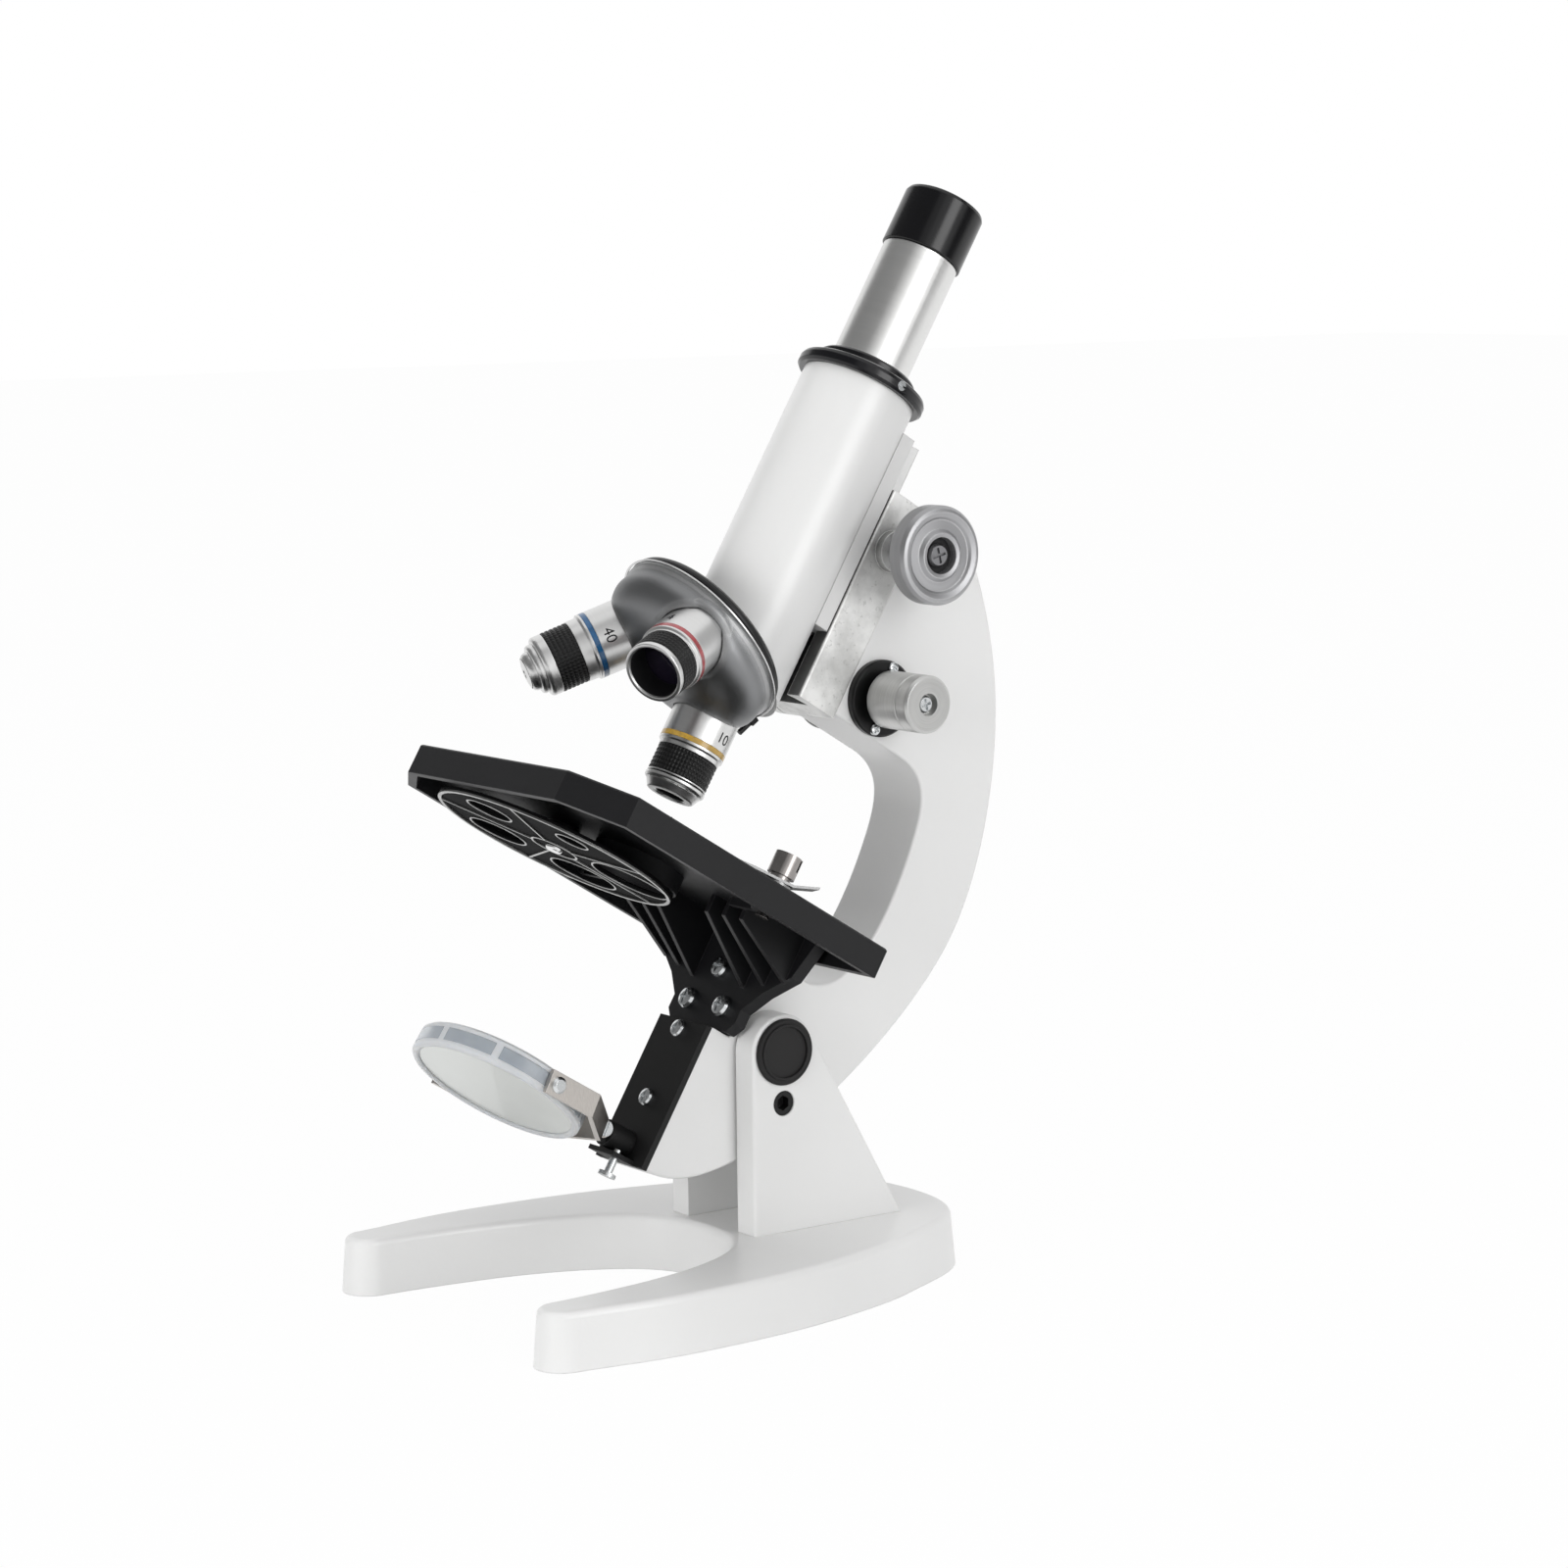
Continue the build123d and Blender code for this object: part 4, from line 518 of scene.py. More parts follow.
def end_tree(tree, shape):
    """Realize the instances, set the material and send the shape out."""
    real = tree.add("GeometryNodeRealizeInstances", None, {"Geometry": shape})
    inputs = {"Geometry": real, "Material": tree.sizes["Material"]}
    dressed = tree.add("GeometryNodeSetMaterial", None, inputs)
    end = tree.tree.nodes.new("NodeGroupOutput")
    tree.join(dressed, end.inputs[0])


def grow(name, tree, values, place):
    """Run a tree and return the result as a plain object, with its place in its mesh."""
    seed = in_scene(name + "_seed", bpy.data.meshes.new(name + "_seed"))
    modifier = seed.modifiers.new("grow", "NODES")
    modifier.node_group = tree.tree
    for item in tree.tree.interface.items_tree:
        if item.in_out == "INPUT" and item.name in values:
            modifier[item.identifier] = values[item.name]
    evaluated = seed.evaluated_get(bpy.context.evaluated_depsgraph_get())
    mesh = bpy.data.meshes.new_from_object(evaluated)
    bpy.data.objects.remove(seed)
    mesh.transform(place)
    mesh.name = name
    print(name, "has", len(mesh.polygons), "faces")
    return in_scene(name, mesh)


def set_down(piece, body, slot, *replaced):
    """Let a piece ride on its body and hide the CAD nodes it stands for; the slot is not used."""
    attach(piece, body)
    if replaced:
        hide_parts(*replaced)


def frame_on(origin, direction, distance=0.0):
    """A matrix whose Z runs along a direction, from a place on the line."""
    turn = direction.to_track_quat("Z", "Y").to_matrix().to_4x4()
    return Matrix.Translation(origin + direction * distance) @ turn


def frame_of(origin, side, axis):
    """A matrix with its X to one side and its Z along an axis."""
    return Matrix.Translation(origin) @ Matrix((side, axis.cross(side), axis)).transposed().to_4x4()


# %% [markdown]
# ## Knurled grips
# Each objective has a black band to grip, cut with a square knurl: grooves along the barrel and
# grooves round it.  A flat grid is bent into a ring.  One triangle wave runs round the ring and
# one along it, and the lower of the two wins, which leaves rows of small square pads.

# %% The knurling tree
def knurl_tree():
    tree = new_tree("knurled_ring", {"Core": "Float", "Radius": "Float", "Width": "Float", "Depth": "Float",
                                     "Teeth": "Int", "Rows": "Int", "Material": "Material"})
    size = tree.sizes
    steps_along = size["Rows"] * 4 + 3
    grid = tree.add("GeometryNodeMeshGrid", None, {
        "Size X": 1.0, "Size Y": 1.0, "Vertices X": size["Teeth"] * 4 + 1, "Vertices Y": steps_along + 1})
    split = tree.add("ShaderNodeSeparateXYZ", None, {0: tree.add("GeometryNodeInputPosition")})
    turn = split.out("X") + 0.5
    step = ((split.out("Y") + 0.5) * steps_along).maths("ROUND")
    share = ((step - 1) / (steps_along - 3)).clamped() * (step < steps_along - 0.5)
    climb = share * size["Rows"]
    waves = [(turn * size["Teeth"]).maths("PINGPONG", 0.5), climb.maths("PINGPONG", 0.5)]
    height = (waves[0].maths("MINIMUM", waves[1]) * 3.2).clamped()
    ends = ((step - 1).maths("ABSOLUTE") < 0.5) + ((step - (steps_along - 2)).maths("ABSOLUTE") < 0.5)
    skin = size["Radius"] - size["Depth"] * (1 - height) * (1 - ends) - size["Depth"] * 0.8 * ends
    inside = (step < 0.5) + (step > steps_along - 1.5)
    radius = skin * (1 - inside) + size["Core"] * inside
    angle = turn * (2 * math.pi)
    place = tree.vector(radius * angle.maths("COSINE"), radius * angle.maths("SINE"), share * size["Width"])
    ring = tree.add("GeometryNodeSetPosition", None, {"Geometry": grid, "Position": place})
    joined = tree.add("GeometryNodeMergeByDistance", None, {"Geometry": ring, "Distance": 1e-6})
    end_tree(tree, joined)
    return tree


knurl = knurl_tree()

# %% Knurled grips
pad_pitch = 0.00125
for name, direction in objective_axes.items():
    low, high, radius = span(name + "_grip", apex, direction)
    sizes = {"Core": radius - 0.0008, "Radius": radius, "Width": high - low, "Depth": 0.00028, "Teeth": 50,
             "Rows": max(4, round((high - low) / pad_pitch)), "Material": grip_black}
    grip = grow(name + "_knurled_grip", knurl, sizes, frame_on(apex, direction, low))
    set_down(grip, "turret", "grip_black", name + "_grip")

# %% [markdown]
# ## A lathe for meshes
# The barrels of the objectives are turned, so each is one outline spun round a line.  A real
# corner is always a little round, and a mirror-like metal shows that as a fine bright line.  So
# every corner of an outline has a size, and becomes a small arc.  A point just before and just
# after each arc holds the flats flat under smooth shading.

# %% A lathe
def softened(outline, steps=5, hold=0.00004):
    """A closed run of (radius, place, corner) points in mm, with each corner made an arc of that size."""
    run = []
    for index, (radius, place, corner) in enumerate(outline):
        here = Vector((radius, place)) * mm
        before = (Vector(outline[index - 1][:2]) * mm - here).normalized()
        after = (Vector(outline[(index + 1) % len(outline)][:2]) * mm - here).normalized()
        size = corner * mm
        run.append(here + before * (size + hold))
        for step in range(steps + 1 if corner else 1):
            share = step / steps
            run.append(here + before * size * (1 - share) ** 2 + after * size * share ** 2)
        run.append(here + after * (size + hold))
    return [(max(0.0, radius), place) for radius, place in run]


def spun(name, run, origin, direction, material, segments=96):
    """A closed piece turned from a closed run of (radius, place) points."""
    form = bmesh.new()
    rows = []
    for index in range(segments):
        angle = 2 * math.pi * index / segments
        rows.append([form.verts.new((r * math.cos(angle), r * math.sin(angle), z)) for r, z in run])
    for index, row in enumerate(rows):
        after = rows[(index + 1) % segments]
        for k in range(len(run)):
            n = (k + 1) % len(run)
            form.faces.new((row[k], after[k], after[n], row[n]))
    bmesh.ops.remove_doubles(form, verts=form.verts, dist=1e-7)
    bmesh.ops.recalc_face_normals(form, faces=form.faces)
    mesh = bpy.data.meshes.new(name)
    form.to_mesh(mesh)
    form.free()
    mesh.transform(frame_on(origin, direction))
    mesh.materials.append(material)
    mesh.shade_smooth()
    return in_scene(name, mesh)


print("the lathe is ready")

# %% [markdown]
# ## The three objectives
# All three share a barrel: a thread that goes into the turret, a plain part with the enamel
# ring, and a step down to the knurled grip.  They differ in front.  The weakest lens is wide, so
# its barrel ends in an open mouth.  The stronger ones come close to the slide, so they taper,
# and the strongest ends in small round shoulders.  The inside is blackened against stray light.

# %% Objective barrels
thread_end, thread_radius, seat = 42.0, 8.8, 47.0
ring_start, ring_end, barrel_radius, groove_radius = 58.4, 60.0, 10.0, 9.8
shoulder, neck, neck_radius, grip_core = 60.8, 61.2, 9.4, 8.3
fronts = {
    "objective_4x": ((8.9, 68.3, 0.1), (9.1, 68.8, 0.15), (9.1, 70.4, 0.45), (8.0, 70.4, 0.25),
                     (7.7, 69.7, 0.1)),
    "objective_10x": ((9.2, 70.45, 0.1), (9.2, 70.9, 0.1), (8.5, 70.95, 0.0), (8.5, 71.35, 0.0),
                      (9.35, 71.4, 0.15), (9.35, 72.4, 0.5), (8.5, 72.9, 0.15), (8.4, 73.2, 0.1),
                      (7.2, 75.4, 0.4), (5.0, 75.4, 0.2), (4.6, 74.8, 0.1)),
    "objective_40x": ((9.1, 72.55, 0.2), (9.1, 76.1, 1.3), (7.5, 76.1, 0.1), (7.5, 78.2, 1.2),
                      (5.9, 78.2, 0.1), (5.8, 80.0, 1.4), (3.4, 81.0, 1.4), (1.4, 81.0, 0.2),
                      (1.1, 80.6, 0.1)),
}
grips = {name: span(name + "_grip", apex, direction) for name, direction in objective_axes.items()}
aluminium = (0.74, 0.74, 0.735)
for name, direction in objective_axes.items():
    grip_start, grip_end = grips[name][0] / mm, grips[name][1] / mm
    bore = fronts[name][-1][0]
    inside = min(bore, 5.0)
    outline = [(inside, thread_end, 0.0), (thread_radius, thread_end, 0.3), (thread_radius, seat, 0.0),
               (barrel_radius, seat, 0.3), (barrel_radius, ring_start, 0.05),
               (groove_radius, ring_start, 0.0), (groove_radius, ring_end, 0.0),
               (barrel_radius, ring_end, 0.05), (barrel_radius, shoulder, 0.15), (neck_radius, neck, 0.1),
               (9.3, grip_start, 0.0), (grip_core, grip_start, 0.0), (grip_core, grip_end, 0.0),
               *fronts[name], (bore, 58.0, 0.0), (inside, 57.5, 0.0)]
    metal = turned_metal("turned_" + name, apex, direction, aluminium, 0.32, dark_inside=(bore + 0.05) * mm)
    barrel = spun(name + "_barrel", softened(outline), apex, direction, metal)
    set_down(barrel, "turret", name.replace("objective_", "objective_metal_"), name)
    print(name, "opens", 2 * bore, "mm wide")

# %% [markdown]
# The front lenses sit deep in the blackened barrels.  The last face of each is a little domed.

# %% Objective lenses
lens_thickness = 1.2
front_lenses = {"objective_4x": (7.68, 62.0), "objective_10x": (4.58, 73.6), "objective_40x": (1.08, 80.3)}
for name, (radius, place) in front_lenses.items():
    outline = [(0.0, place - lens_thickness, 0.0), (radius, place - lens_thickness, 0.0),
               (radius, place, 0.0), (radius * 0.7, place + radius * 0.05, 0.3),
               (0.0, place + radius * 0.08, 0.0)]
    lens = spun(name + "_lens", softened(outline, 4, 0.00001), apex, objective_axes[name], glass, 64)
    set_down(lens, "turret", "lens_glass", *(["objective_lenses"] if name == "objective_4x" else []))
print("three front lenses")

# %% [markdown]
# ## Enamel rings and engraving
# A coloured ring on each objective tells its power from across a bench, and the power is
# engraved beside it.  The ring is enamel in a turned groove.  The numbers are cut from the
# built-in font.  Flat letters would stand off a round barrel, so they are sliced into narrow
# strips first and then wrapped round it, filled with black.

# %% Enamel rings
def enamel(name, shade):
    finish = Finish(name, edge_radius=0.0002, Coat_Weight=0.6, Coat_Roughness=0.08)
    thickness = finish.noise(500.0, 2.0)
    finish.bump(thickness, 0.00003)
    body = finish.mix(thickness.between(0.3, 0.7), colour(*shade), colour(*[v * 0.75 for v in shade]))
    return finish.done(Base_Color=body, Roughness=thickness * 0.1 + 0.22)


ring_shades = {"objective_4x": (0.40, 0.06, 0.07), "objective_10x": (0.62, 0.38, 0.06),
               "objective_40x": (0.009, 0.10, 0.25)}
enamel_foot, enamel_top, enamel_gap = 9.75, 10.03, 0.02
for name, direction in objective_axes.items():
    outline = [(enamel_foot, ring_start + enamel_gap, 0.0), (enamel_top, ring_start + enamel_gap, 0.05),
               (enamel_top, ring_end - enamel_gap, 0.05), (enamel_foot, ring_end - enamel_gap, 0.0)]
    band = spun(name + "_colour_ring", softened(outline, 3, 0.00001), apex, direction,
                enamel(name + "_ring_enamel", ring_shades[name]))
    set_down(band, "turret", name.replace("objective_", "objective_metal_"))
# Painted shade: a black ring lines the bottom of the groove in the front of the 10x, so the groove shows dark.
groove = [(8.4, 70.96, 0.0), (8.62, 70.96, 0.0), (8.62, 71.34, 0.0), (8.4, 71.34, 0.0)]
dark_groove = spun("objective_10x_dark_groove", softened(groove, 3, 0.00001), apex,
                   objective_axes["objective_10x"], grip_black)
set_down(dark_groove, "turret", "grip_black")
print("three enamel rings")


# %% Engraved numbers
number_height = 0.0046
strip_width = 0.0004


def wrapped_number(name, words, height, origin, direction, facing, radius, place, material):
    """A number wrapped round a barrel: it faces one way and its top points back along the line."""
    words_curve = bpy.data.curves.new(name, "FONT")
    words_curve.body = words
    words_curve.size = height
    words_curve.align_x = "CENTER"
    words_curve.align_y = "CENTER"
    words_curve.extrude = 0.00005
    flat = in_scene(name + "_flat", words_curve)
    mesh = bpy.data.meshes.new_from_object(flat.evaluated_get(bpy.context.evaluated_depsgraph_get()))
    bpy.data.objects.remove(flat)
    form = bmesh.new()
    form.from_mesh(mesh)
    bmesh.ops.remove_doubles(form, verts=form.verts, dist=1e-7)
    for cut in range(-12, 13):
        everything = form.verts[:] + form.edges[:] + form.faces[:]
        place_of_cut = (cut * strip_width, 0, 0)
        bmesh.ops.bisect_plane(form, geom=everything, plane_co=place_of_cut, plane_no=(1, 0, 0))
    local = frame_on(origin, direction).to_3x3().inverted() @ facing
    start = math.atan2(local.y, local.x)
    for vertex in form.verts:
        x, y, z = vertex.co
        turn, reach = start - x / radius, radius + z
        vertex.co = (reach * math.cos(turn), reach * math.sin(turn), place - y)
    bmesh.ops.recalc_face_normals(form, faces=form.faces)
    form.to_mesh(mesh)
    form.free()
    mesh.transform(frame_on(origin, direction))
    mesh.materials.clear()
    mesh.materials.append(material)
    return in_scene(name, mesh)


engraving_black = black_paint("black_engraving", (0.012, 0.012, 0.014), 0.5, 0.00001, 0.0)
facings = {"objective_4x": Vector((-0.2, 0.3, 0.9)), "objective_10x": Vector((0.95, 0.25, 0.0)),
           "objective_40x": Vector((0.82, -0.45, 0.20))}
for name, direction in objective_axes.items():
    power = name.replace("objective_", "").replace("x", "")
    number = wrapped_number(name + "_number", power, number_height, apex, direction, facings[name],
                            barrel_radius * mm, (ring_start - 3.4) * mm, engraving_black)
    set_down(number, "turret", name.replace("objective_", "objective_metal_"))
print("three engraved numbers")

# %% [markdown]
# ## The rim of the turret
# The rim of the turret is polished, and shows as one thin bright line under the black plate.

# %% Turret rim
rim_radius = span("turret", apex, turret_axis)[2]
rim_start = span("nosepiece_plate", apex, turret_axis)[1] / mm + 0.35
rim_end = rim_start + 0.55
rim_inner, rim_outer = rim_radius / mm - 0.6, rim_radius / mm + 0.04
rim_outline = [(rim_inner, rim_start, 0.0), (rim_outer, rim_start, 0.12), (rim_outer, rim_end, 0.12),
               (rim_inner, rim_end, 0.0)]
polished = turned_metal("polished_rim", apex, turret_axis, (0.66, 0.66, 0.66), 0.24)
rim = spun("turret_rim", softened(rim_outline, 4, 0.00002), apex, turret_axis, polished, 128)
set_down(rim, "turret", "turret_metal")
print("turret rim of radius %.1f mm" % (rim_radius / mm))

# %% [markdown]
# ## The beads of the hinge caps
# Each cap is moulded with a low bead near its edge.  The caps close the ends of the hinge, so
# one bead looks right and one looks left.

# %% Cap beads
cap_low, cap_high, cap_radius = (v / mm for v in span("pivot_caps", hinge, across))
bead_inner, bead_outer, bead_top = cap_radius * 0.76, cap_radius * 0.84, cap_high + 0.45
bead_outline = [(bead_inner, cap_high - 0.1, 0.0), (bead_inner, bead_top, 0.2),
                (bead_outer, bead_top, 0.2), (bead_outer, cap_high - 0.1, 0.0)]
for name, direction in (("right", across), ("left", -across)):
    bead = spun("pivot_cap_bead_" + name, softened(bead_outline, 4, 0.00001), hinge, direction, cap_black)
    set_down(bead, "base", "black_caps")
print("cap beads on caps from %.1f to %.1f mm" % (cap_low, cap_high))

# %% [markdown]
# ## The disc of stops
# The disc is pressed from thin sheet.  A rolled rim, a ring round each stop and five spokes
# make it stiff.  They are coloured grey metal, which paints the glint of their edges as the only
# bright lines on it: painted highlight.  The rings are turned.  The spokes repeat round the
# rivet, so one tree of Geometry Nodes makes them.

# %% Rings of the disc
disc_point, disc_axis = line_of("stop_disc_turn")
disc_axis = disc_axis if disc_axis.dot(up) > 0 else -disc_axis
disc_low, _, disc_radius = span("stop_disc", disc_point, disc_axis)
disc_black = black_paint("black_disc", (0.0040, 0.0040, 0.0044), 0.70, 0.00002, 0.0, 0.05)
# Painted highlight: the rim, rings and spokes are grey metal so that they show as bright lines.
highlight_rib_metal = plated_metal("worn_disc_metal", (0.46, 0.46, 0.455), 0.34, 0.12)
finish_nodes(disc_black, "stop_disc")
stops = (23.0, 20.0, 17.0, 13.0, 9.0)
under = disc_low / mm
to_axis = (optical_point - disc_point) - disc_axis * (optical_point - disc_point).dot(disc_axis)


def disc_ring(name, centre, radius, width, drop):
    """A ring pressed out of the underside of the disc."""
    outline = [(radius - width, under + 0.02, 0.0), (radius - width, under - drop, 0.12),
               (radius, under - drop, 0.12), (radius, under + 0.02, 0.0)]
    ring = spun(name, softened(outline, 3, 0.00001), centre, disc_axis, highlight_rib_metal, 72)
    set_down(ring, "stop_disc", "disc_grey")


disc_ring("disc_rim", disc_point, disc_radius / mm - 0.05, 1.1, 0.7)
disc_ring("disc_hub", disc_point, 7.5, 0.7, 0.5)
for index, diameter in enumerate(stops):
    turned_to_axis = Matrix.Rotation(2 * math.pi * index / len(stops), 3, disc_axis) @ to_axis
    disc_ring("disc_stop_ring_%d" % index, disc_point + turned_to_axis, diameter / 2 + 0.8, 0.6, 0.35)
print("disc of radius %.1f mm with %d stops" % (disc_radius / mm, len(stops)))


# %% Rivet of the disc
shank_radius, shank_top, head_radius, head_top = 2.0, 32.0, 2.7, 24.3
rivet_outline = [(0.0, shank_top, 0.0), (shank_radius, shank_top, 0.1), (shank_radius, head_top, 0.0),
                 (head_radius, head_top, 0.1), (2.5, 23.1, 0.8), (0.0, 22.9, 0.0)]
rivet_foot = disc_point - disc_axis * (disc_point - hinge).dot(disc_axis)
rivet = spun("disc_rivet", softened(rivet_outline, 4, 0.00001), rivet_foot, disc_axis, bright_plate, 48)
set_down(rivet, "limb", "bright_rivet", "stop_disc_rivet")
print("rivet with", len(rivet.data.polygons), "faces")

# %% [markdown]
# ## The light baffle
# A short black collar hangs from the hole of the stage and keeps stray light off the stops.  It
# ends just above the disc, so that the disc turns freely under it.

# %% Light baffle
optical_foot = optical_point - up * (optical_point - hinge).dot(up)
disc_top = span("stop_disc", hinge, up)[1] / mm
stage_top = span("stage", hinge, up)[1] / mm
stage_hole, stage_plate, baffle_wall, disc_gap = 12.5, 3.4, 1.5, 0.4
baffle_inner, baffle_outer = stage_hole + 0.1, stage_hole + baffle_wall
baffle_low, baffle_high = disc_top + disc_gap, stage_top - stage_plate + 0.3
baffle_outline = [(baffle_inner, baffle_low, 0.1), (baffle_outer, baffle_low, 0.1),
                  (baffle_outer, baffle_high, 0.0), (baffle_inner, baffle_high, 0.0)]
baffle = spun("stage_baffle", softened(baffle_outline, 3, 0.00001), optical_foot, up, stage_black, 72)
set_down(baffle, "limb", "stage_black")
print("baffle from %.1f to %.1f mm above the hinge" % (disc_top + disc_gap, stage_top - stage_plate))


# %% Spokes of the disc
def spoke_tree():
    tree = new_tree("spokes", {"Count": "Int", "Inner": "Float", "Outer": "Float", "Width": "Float",
                               "Height": "Float", "Material": "Material"})
    size = tree.sizes
    length = size["Outer"] - size["Inner"]
    bar_size = tree.vector(length, size["Width"], size["Height"])
    bar = tree.add("GeometryNodeMeshCube", None, {"Size": bar_size})
    place = tree.vector(length * 0.5 + size["Inner"], 0.0, 0.0)
    laid = tree.add("GeometryNodeTransform", None, {"Geometry": bar, "Translation": place})
    hub = tree.add("GeometryNodeMeshCircle", None, {"Vertices": size["Count"], "Radius": 1e-6})
    index = tree.add("GeometryNodeInputIndex")
    turn = tree.vector(0.0, 0.0, (index + 0.5) / size["Count"] * (2 * math.pi))
    inputs = {"Points": hub, "Instance": laid, "Rotation": turn}
    end_tree(tree, tree.add("GeometryNodeInstanceOnPoints", None, inputs))
    return tree


side = to_axis.normalized()
spoke_sink = 0.25
disc_frame = frame_of(disc_point + disc_axis * (under - spoke_sink) * mm, side, disc_axis)
spoke_sizes = {"Count": 5, "Inner": 0.0073, "Outer": disc_radius - 0.0008, "Width": 0.0007,
               "Height": 0.0005, "Material": highlight_rib_metal}
spokes = grow("disc_spokes", spoke_tree(), spoke_sizes, disc_frame)
set_down(spokes, "stop_disc", "disc_grey")

# %% [markdown]
# ## The windows of the mirror ring
# The milky ring is hollow, with thin walls between its ribs, and through the thin places the
# dark inside shows bluish.  Each thin place is a panel let into the side of the ring, coloured
# darker and bluer than the ring: painted shade of the dark inside.  The panels are laid out
# flat in a row and then bent round, all in one tree.

# %% Windows of the mirror ring
def bent_row_tree():
    tree = new_tree("bent_row", {"Count": "Int", "Radius": "Float", "Share": "Float", "Thickness": "Float",
                                 "Height": "Float", "Start": "Float", "Material": "Material"})
    size = tree.sizes
    pitch = (2 * math.pi) / size["Count"]
    panel = tree.add("GeometryNodeMeshCube", None, {
        "Size": tree.vector(pitch * size["Share"], size["Thickness"], size["Height"]), "Vertices X": 12})
    row = tree.add("GeometryNodeMeshLine", None, {
        "Count": size["Count"], "Start Location": tree.vector(pitch * size["Start"], 0.0, 0.0),
        "Offset": tree.vector(pitch, 0.0, 0.0)})
    panels = tree.add("GeometryNodeInstanceOnPoints", None, {"Points": row, "Instance": panel})
    real = tree.add("GeometryNodeRealizeInstances", None, {"Geometry": panels})
    split = tree.add("ShaderNodeSeparateXYZ", None, {0: tree.add("GeometryNodeInputPosition")})
    angle, reach = split.out("X"), split.out("Y") + size["Radius"]
    place = tree.vector(reach * angle.maths("COSINE"), reach * angle.maths("SINE"), split.out("Z"))
    bent = tree.add("GeometryNodeSetPosition", None, {"Geometry": real, "Position": place})
    end_tree(tree, bent)
    return tree


ring_low, ring_high = (Vector(corner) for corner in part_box("mirror_frame"))
mirror_centre = (ring_low + ring_high) / 2
widest = max(nodes["mirror_glasses"].data.polygons, key=lambda face: face.area).normal.copy()
mirror_axis = widest if widest.dot(up) > 0 else -widest
ring_from, ring_to, ring_radius = span("mirror_frame", mirror_centre, mirror_axis)
crosswise = (across - mirror_axis * across.dot(mirror_axis)).normalized()
mirror_place = frame_of(mirror_centre, crosswise, mirror_axis)
# Painted shade: the panels' darker bluish colour stands in for the dark inside of the ring.
shade_panel_plastic = milky_plastic("thin_milky_plastic", (0.38, 0.42, 0.47), (0.50, 0.54, 0.58), 0.18)
window_sizes = {"Count": 9, "Radius": ring_radius - 0.00015, "Share": 0.88, "Thickness": 0.0004,
                "Height": (ring_to - ring_from) * 0.52, "Start": 0.425, "Material": shade_panel_plastic}
windows = grow("mirror_windows", bent_row_tree(), window_sizes, mirror_place)
set_down(windows, "mirror", "milky_frame")
print("mirror ring of radius %.1f mm, %.1f mm tall" % (ring_radius / mm, (ring_to - ring_from) / mm))

# %% [markdown]
# ## Floor, light and camera
# A pale floor and a white room, lit by three large soft boxes: overhead, at the side and in
# front.  Only the side box shows in reflections.  Polished metal needs something dark to
# reflect, or it looks like paper, so three grey cards stand round the instrument.  Only
# reflections see them, as when a card is held just outside the view.

# %% What shows the plain white
def seen_white(tree):
    """1 for the rays of the camera and of reflections, 0 for the rays that only light things."""
    path = tree.add("ShaderNodeLightPath")
    direct = path.out("Is Camera Ray") + path.out("Is Glossy Ray") + path.out("Is Transmission Ray")
    return direct.clamped()


# %% Floor
floor_whiteness = 0.97


def floor_material():
    material = bpy.data.materials.new("pale_floor")
    material.use_nodes = True
    tree = Tree(material.node_tree)
    paper = tree.tree.nodes["Principled BSDF"]
    paper.inputs["Roughness"].default_value = 0.9
    cloud = tree.add("ShaderNodeTexNoise", None, {"Scale": 2.0, "Detail": 1.0}, "Fac")
    shade = tree.mix(cloud, colour(0.88, 0.88, 0.88), colour(0.90, 0.90, 0.90))
    tree.join(shade, paper.inputs["Base Color"])
    white = tree.add("ShaderNodeEmission", None, {"Color": colour(1, 1, 1), "Strength": 1.0})
    both = tree.add("ShaderNodeMixShader", None, {
        0: seen_white(tree) * floor_whiteness, 1: Wire(tree, paper.outputs[0]), 2: white})
    tree.join(both, tree.tree.nodes["Material Output"].inputs[0])
    return material


floor_form = bmesh.new()
bmesh.ops.create_grid(floor_form, x_segments=8, y_segments=8, size=8.0)
floor_mesh = bpy.data.meshes.new("floor")
floor_form.to_mesh(floor_mesh)
floor_form.free()
floor_mesh.transform(Matrix.Translation((0, 0, -0.0002)))
floor_mesh.materials.append(floor_material())
floor = in_scene("floor", floor_mesh)

# %% Room light
world = bpy.data.worlds.new("studio_room")
bpy.context.scene.world = world
world.use_nodes = True
room = Tree(world.node_tree)
room_light = 0.50
seen = seen_white(room)
wall = world.node_tree.nodes["Background"]
strength = seen + (1 - seen) * room_light
room.join(strength, wall.inputs["Strength"])
wall.inputs["Color"].default_value = colour(1, 1, 1)
print("the room lights at", room_light, "and shows as white")


# %% Soft boxes
def soft_box(name, place, aim, size, watts, reflected=True):
    lamp = bpy.data.lights.new(name, "AREA")
    lamp.shape = "RECTANGLE"
    lamp.size, lamp.size_y = size
    lamp.energy = watts
    holder = in_scene(name, lamp)
    holder.location = place
    holder.rotation_euler = (Vector(aim) - Vector(place)).to_track_quat("-Z", "Y").to_euler()
    holder.visible_glossy = reflected


soft_box("overhead_box", (0.1, -0.1, 1.7), (0, 0, 0.15), (1.3, 1.1), 6.5, False)
soft_box("side_box", (1.74, 0.26, 0.62), (0, 0, 0.20), (0.66, 1.3), 9.5)
soft_box("front_box", (0.3, -1.9, 0.50), (0, 0, 0.12), (1.2, 0.8), 13.5, False)


# %% Grey cards
card_distance = 2.4
card_steps = 16


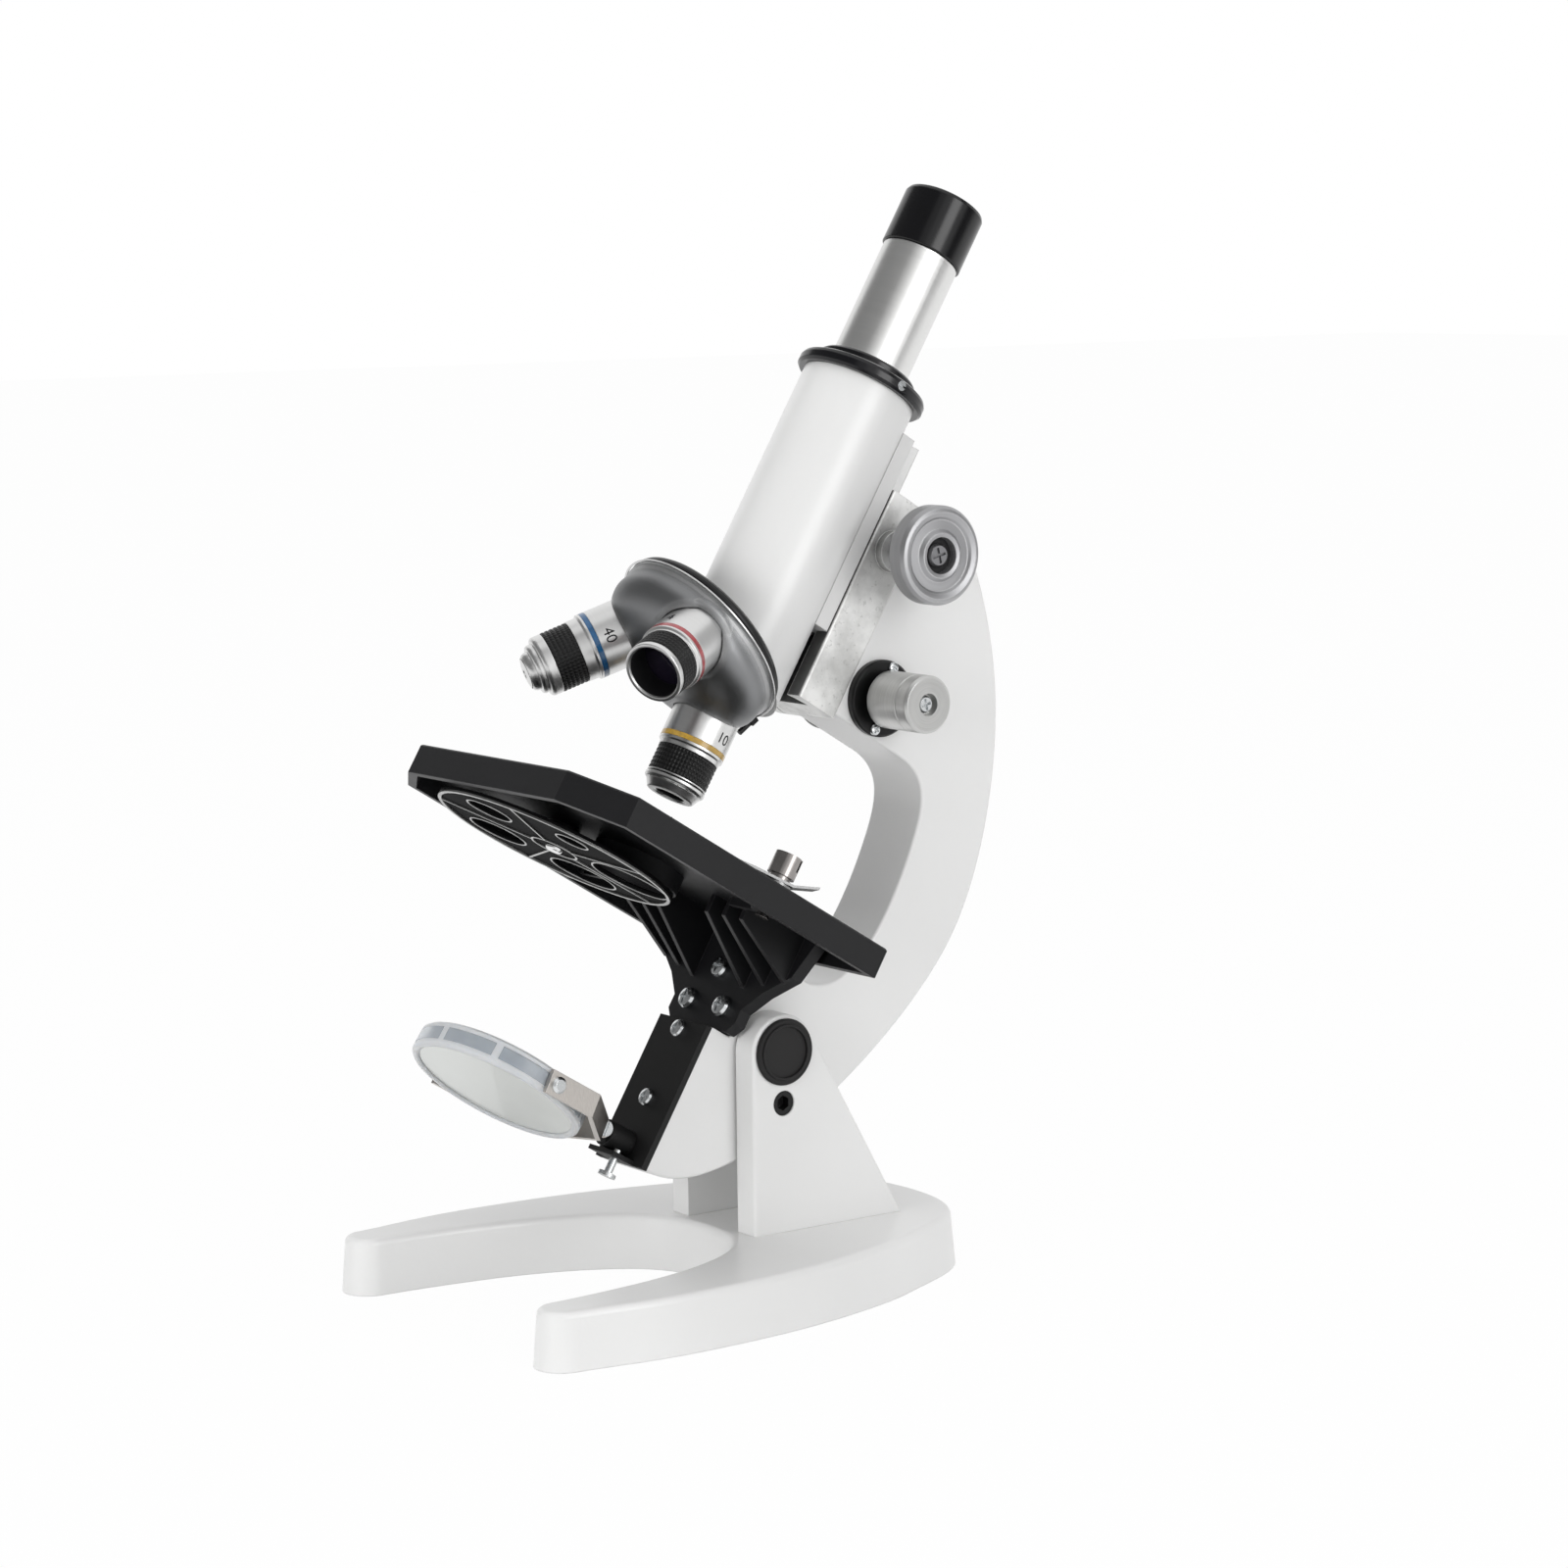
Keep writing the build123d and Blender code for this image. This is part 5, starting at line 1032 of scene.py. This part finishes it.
def grey_card(name, from_azimuth, to_azimuth, grey, height):
    """A curved card round the instrument, between two directions seen from above."""
    form = bmesh.new()
    rows = []
    for step in range(card_steps + 1):
        turn = math.radians(from_azimuth + (to_azimuth - from_azimuth) * step / card_steps)
        x, y = card_distance * math.sin(turn), -card_distance * math.cos(turn)
        rows.append((form.verts.new((x, y, 0.0)), form.verts.new((x, y, height))))
    for (low_a, high_a), (low_b, high_b) in zip(rows, rows[1:]):
        form.faces.new((low_a, low_b, high_b, high_a))
    mesh = bpy.data.meshes.new(name)
    form.to_mesh(mesh)
    form.free()
    material = bpy.data.materials.new(name)
    material.use_nodes = True
    tree = Tree(material.node_tree)
    felt = tree.add("ShaderNodeTexNoise", None, {"Scale": 4.0, "Detail": 2.0}, "Fac")
    shade = tree.mix(felt, colour(grey, grey, grey), colour(grey * 0.8, grey * 0.8, grey * 0.8))
    glow = tree.add("ShaderNodeEmission", None, {"Color": shade})
    tree.join(glow, tree.tree.nodes["Material Output"].inputs[0])
    mesh.materials.append(material)
    card = in_scene(name, mesh)
    card.visible_camera = card.visible_diffuse = card.visible_shadow = False


grey_card("left_card", -80.0, 46.0, 0.25, 5.5)
grey_card("front_card", 46.0, 66.0, 0.64, 5.5)
grey_card("right_card", 124.0, 158.0, 0.22, 2.4)

# %% Camera
aim = Vector((0.0, -0.0198, 0.1352))
distance, azimuth, elevation, roll = 1.1974, math.radians(55.51), math.radians(8.2), math.radians(-0.9)
eye = aim + distance * Vector((math.sin(azimuth) * math.cos(elevation),
                               -math.cos(azimuth) * math.cos(elevation), math.sin(elevation)))
lens = bpy.data.cameras.new("camera")
lens.lens = 94.3
lens.sensor_width = 36.0
lens.shift_x, lens.shift_y = 0.0647, 0.0304
camera = in_scene("camera", lens)
facing = (aim - eye).to_track_quat("-Z", "Y").to_matrix().to_4x4()
camera.matrix_world = Matrix.Translation(eye) @ facing @ Matrix.Rotation(roll, 4, "Z")
bpy.context.scene.camera = camera
bpy.context.scene.view_settings.view_transform = "Standard"
print("camera stands", round(distance, 3), "m away")
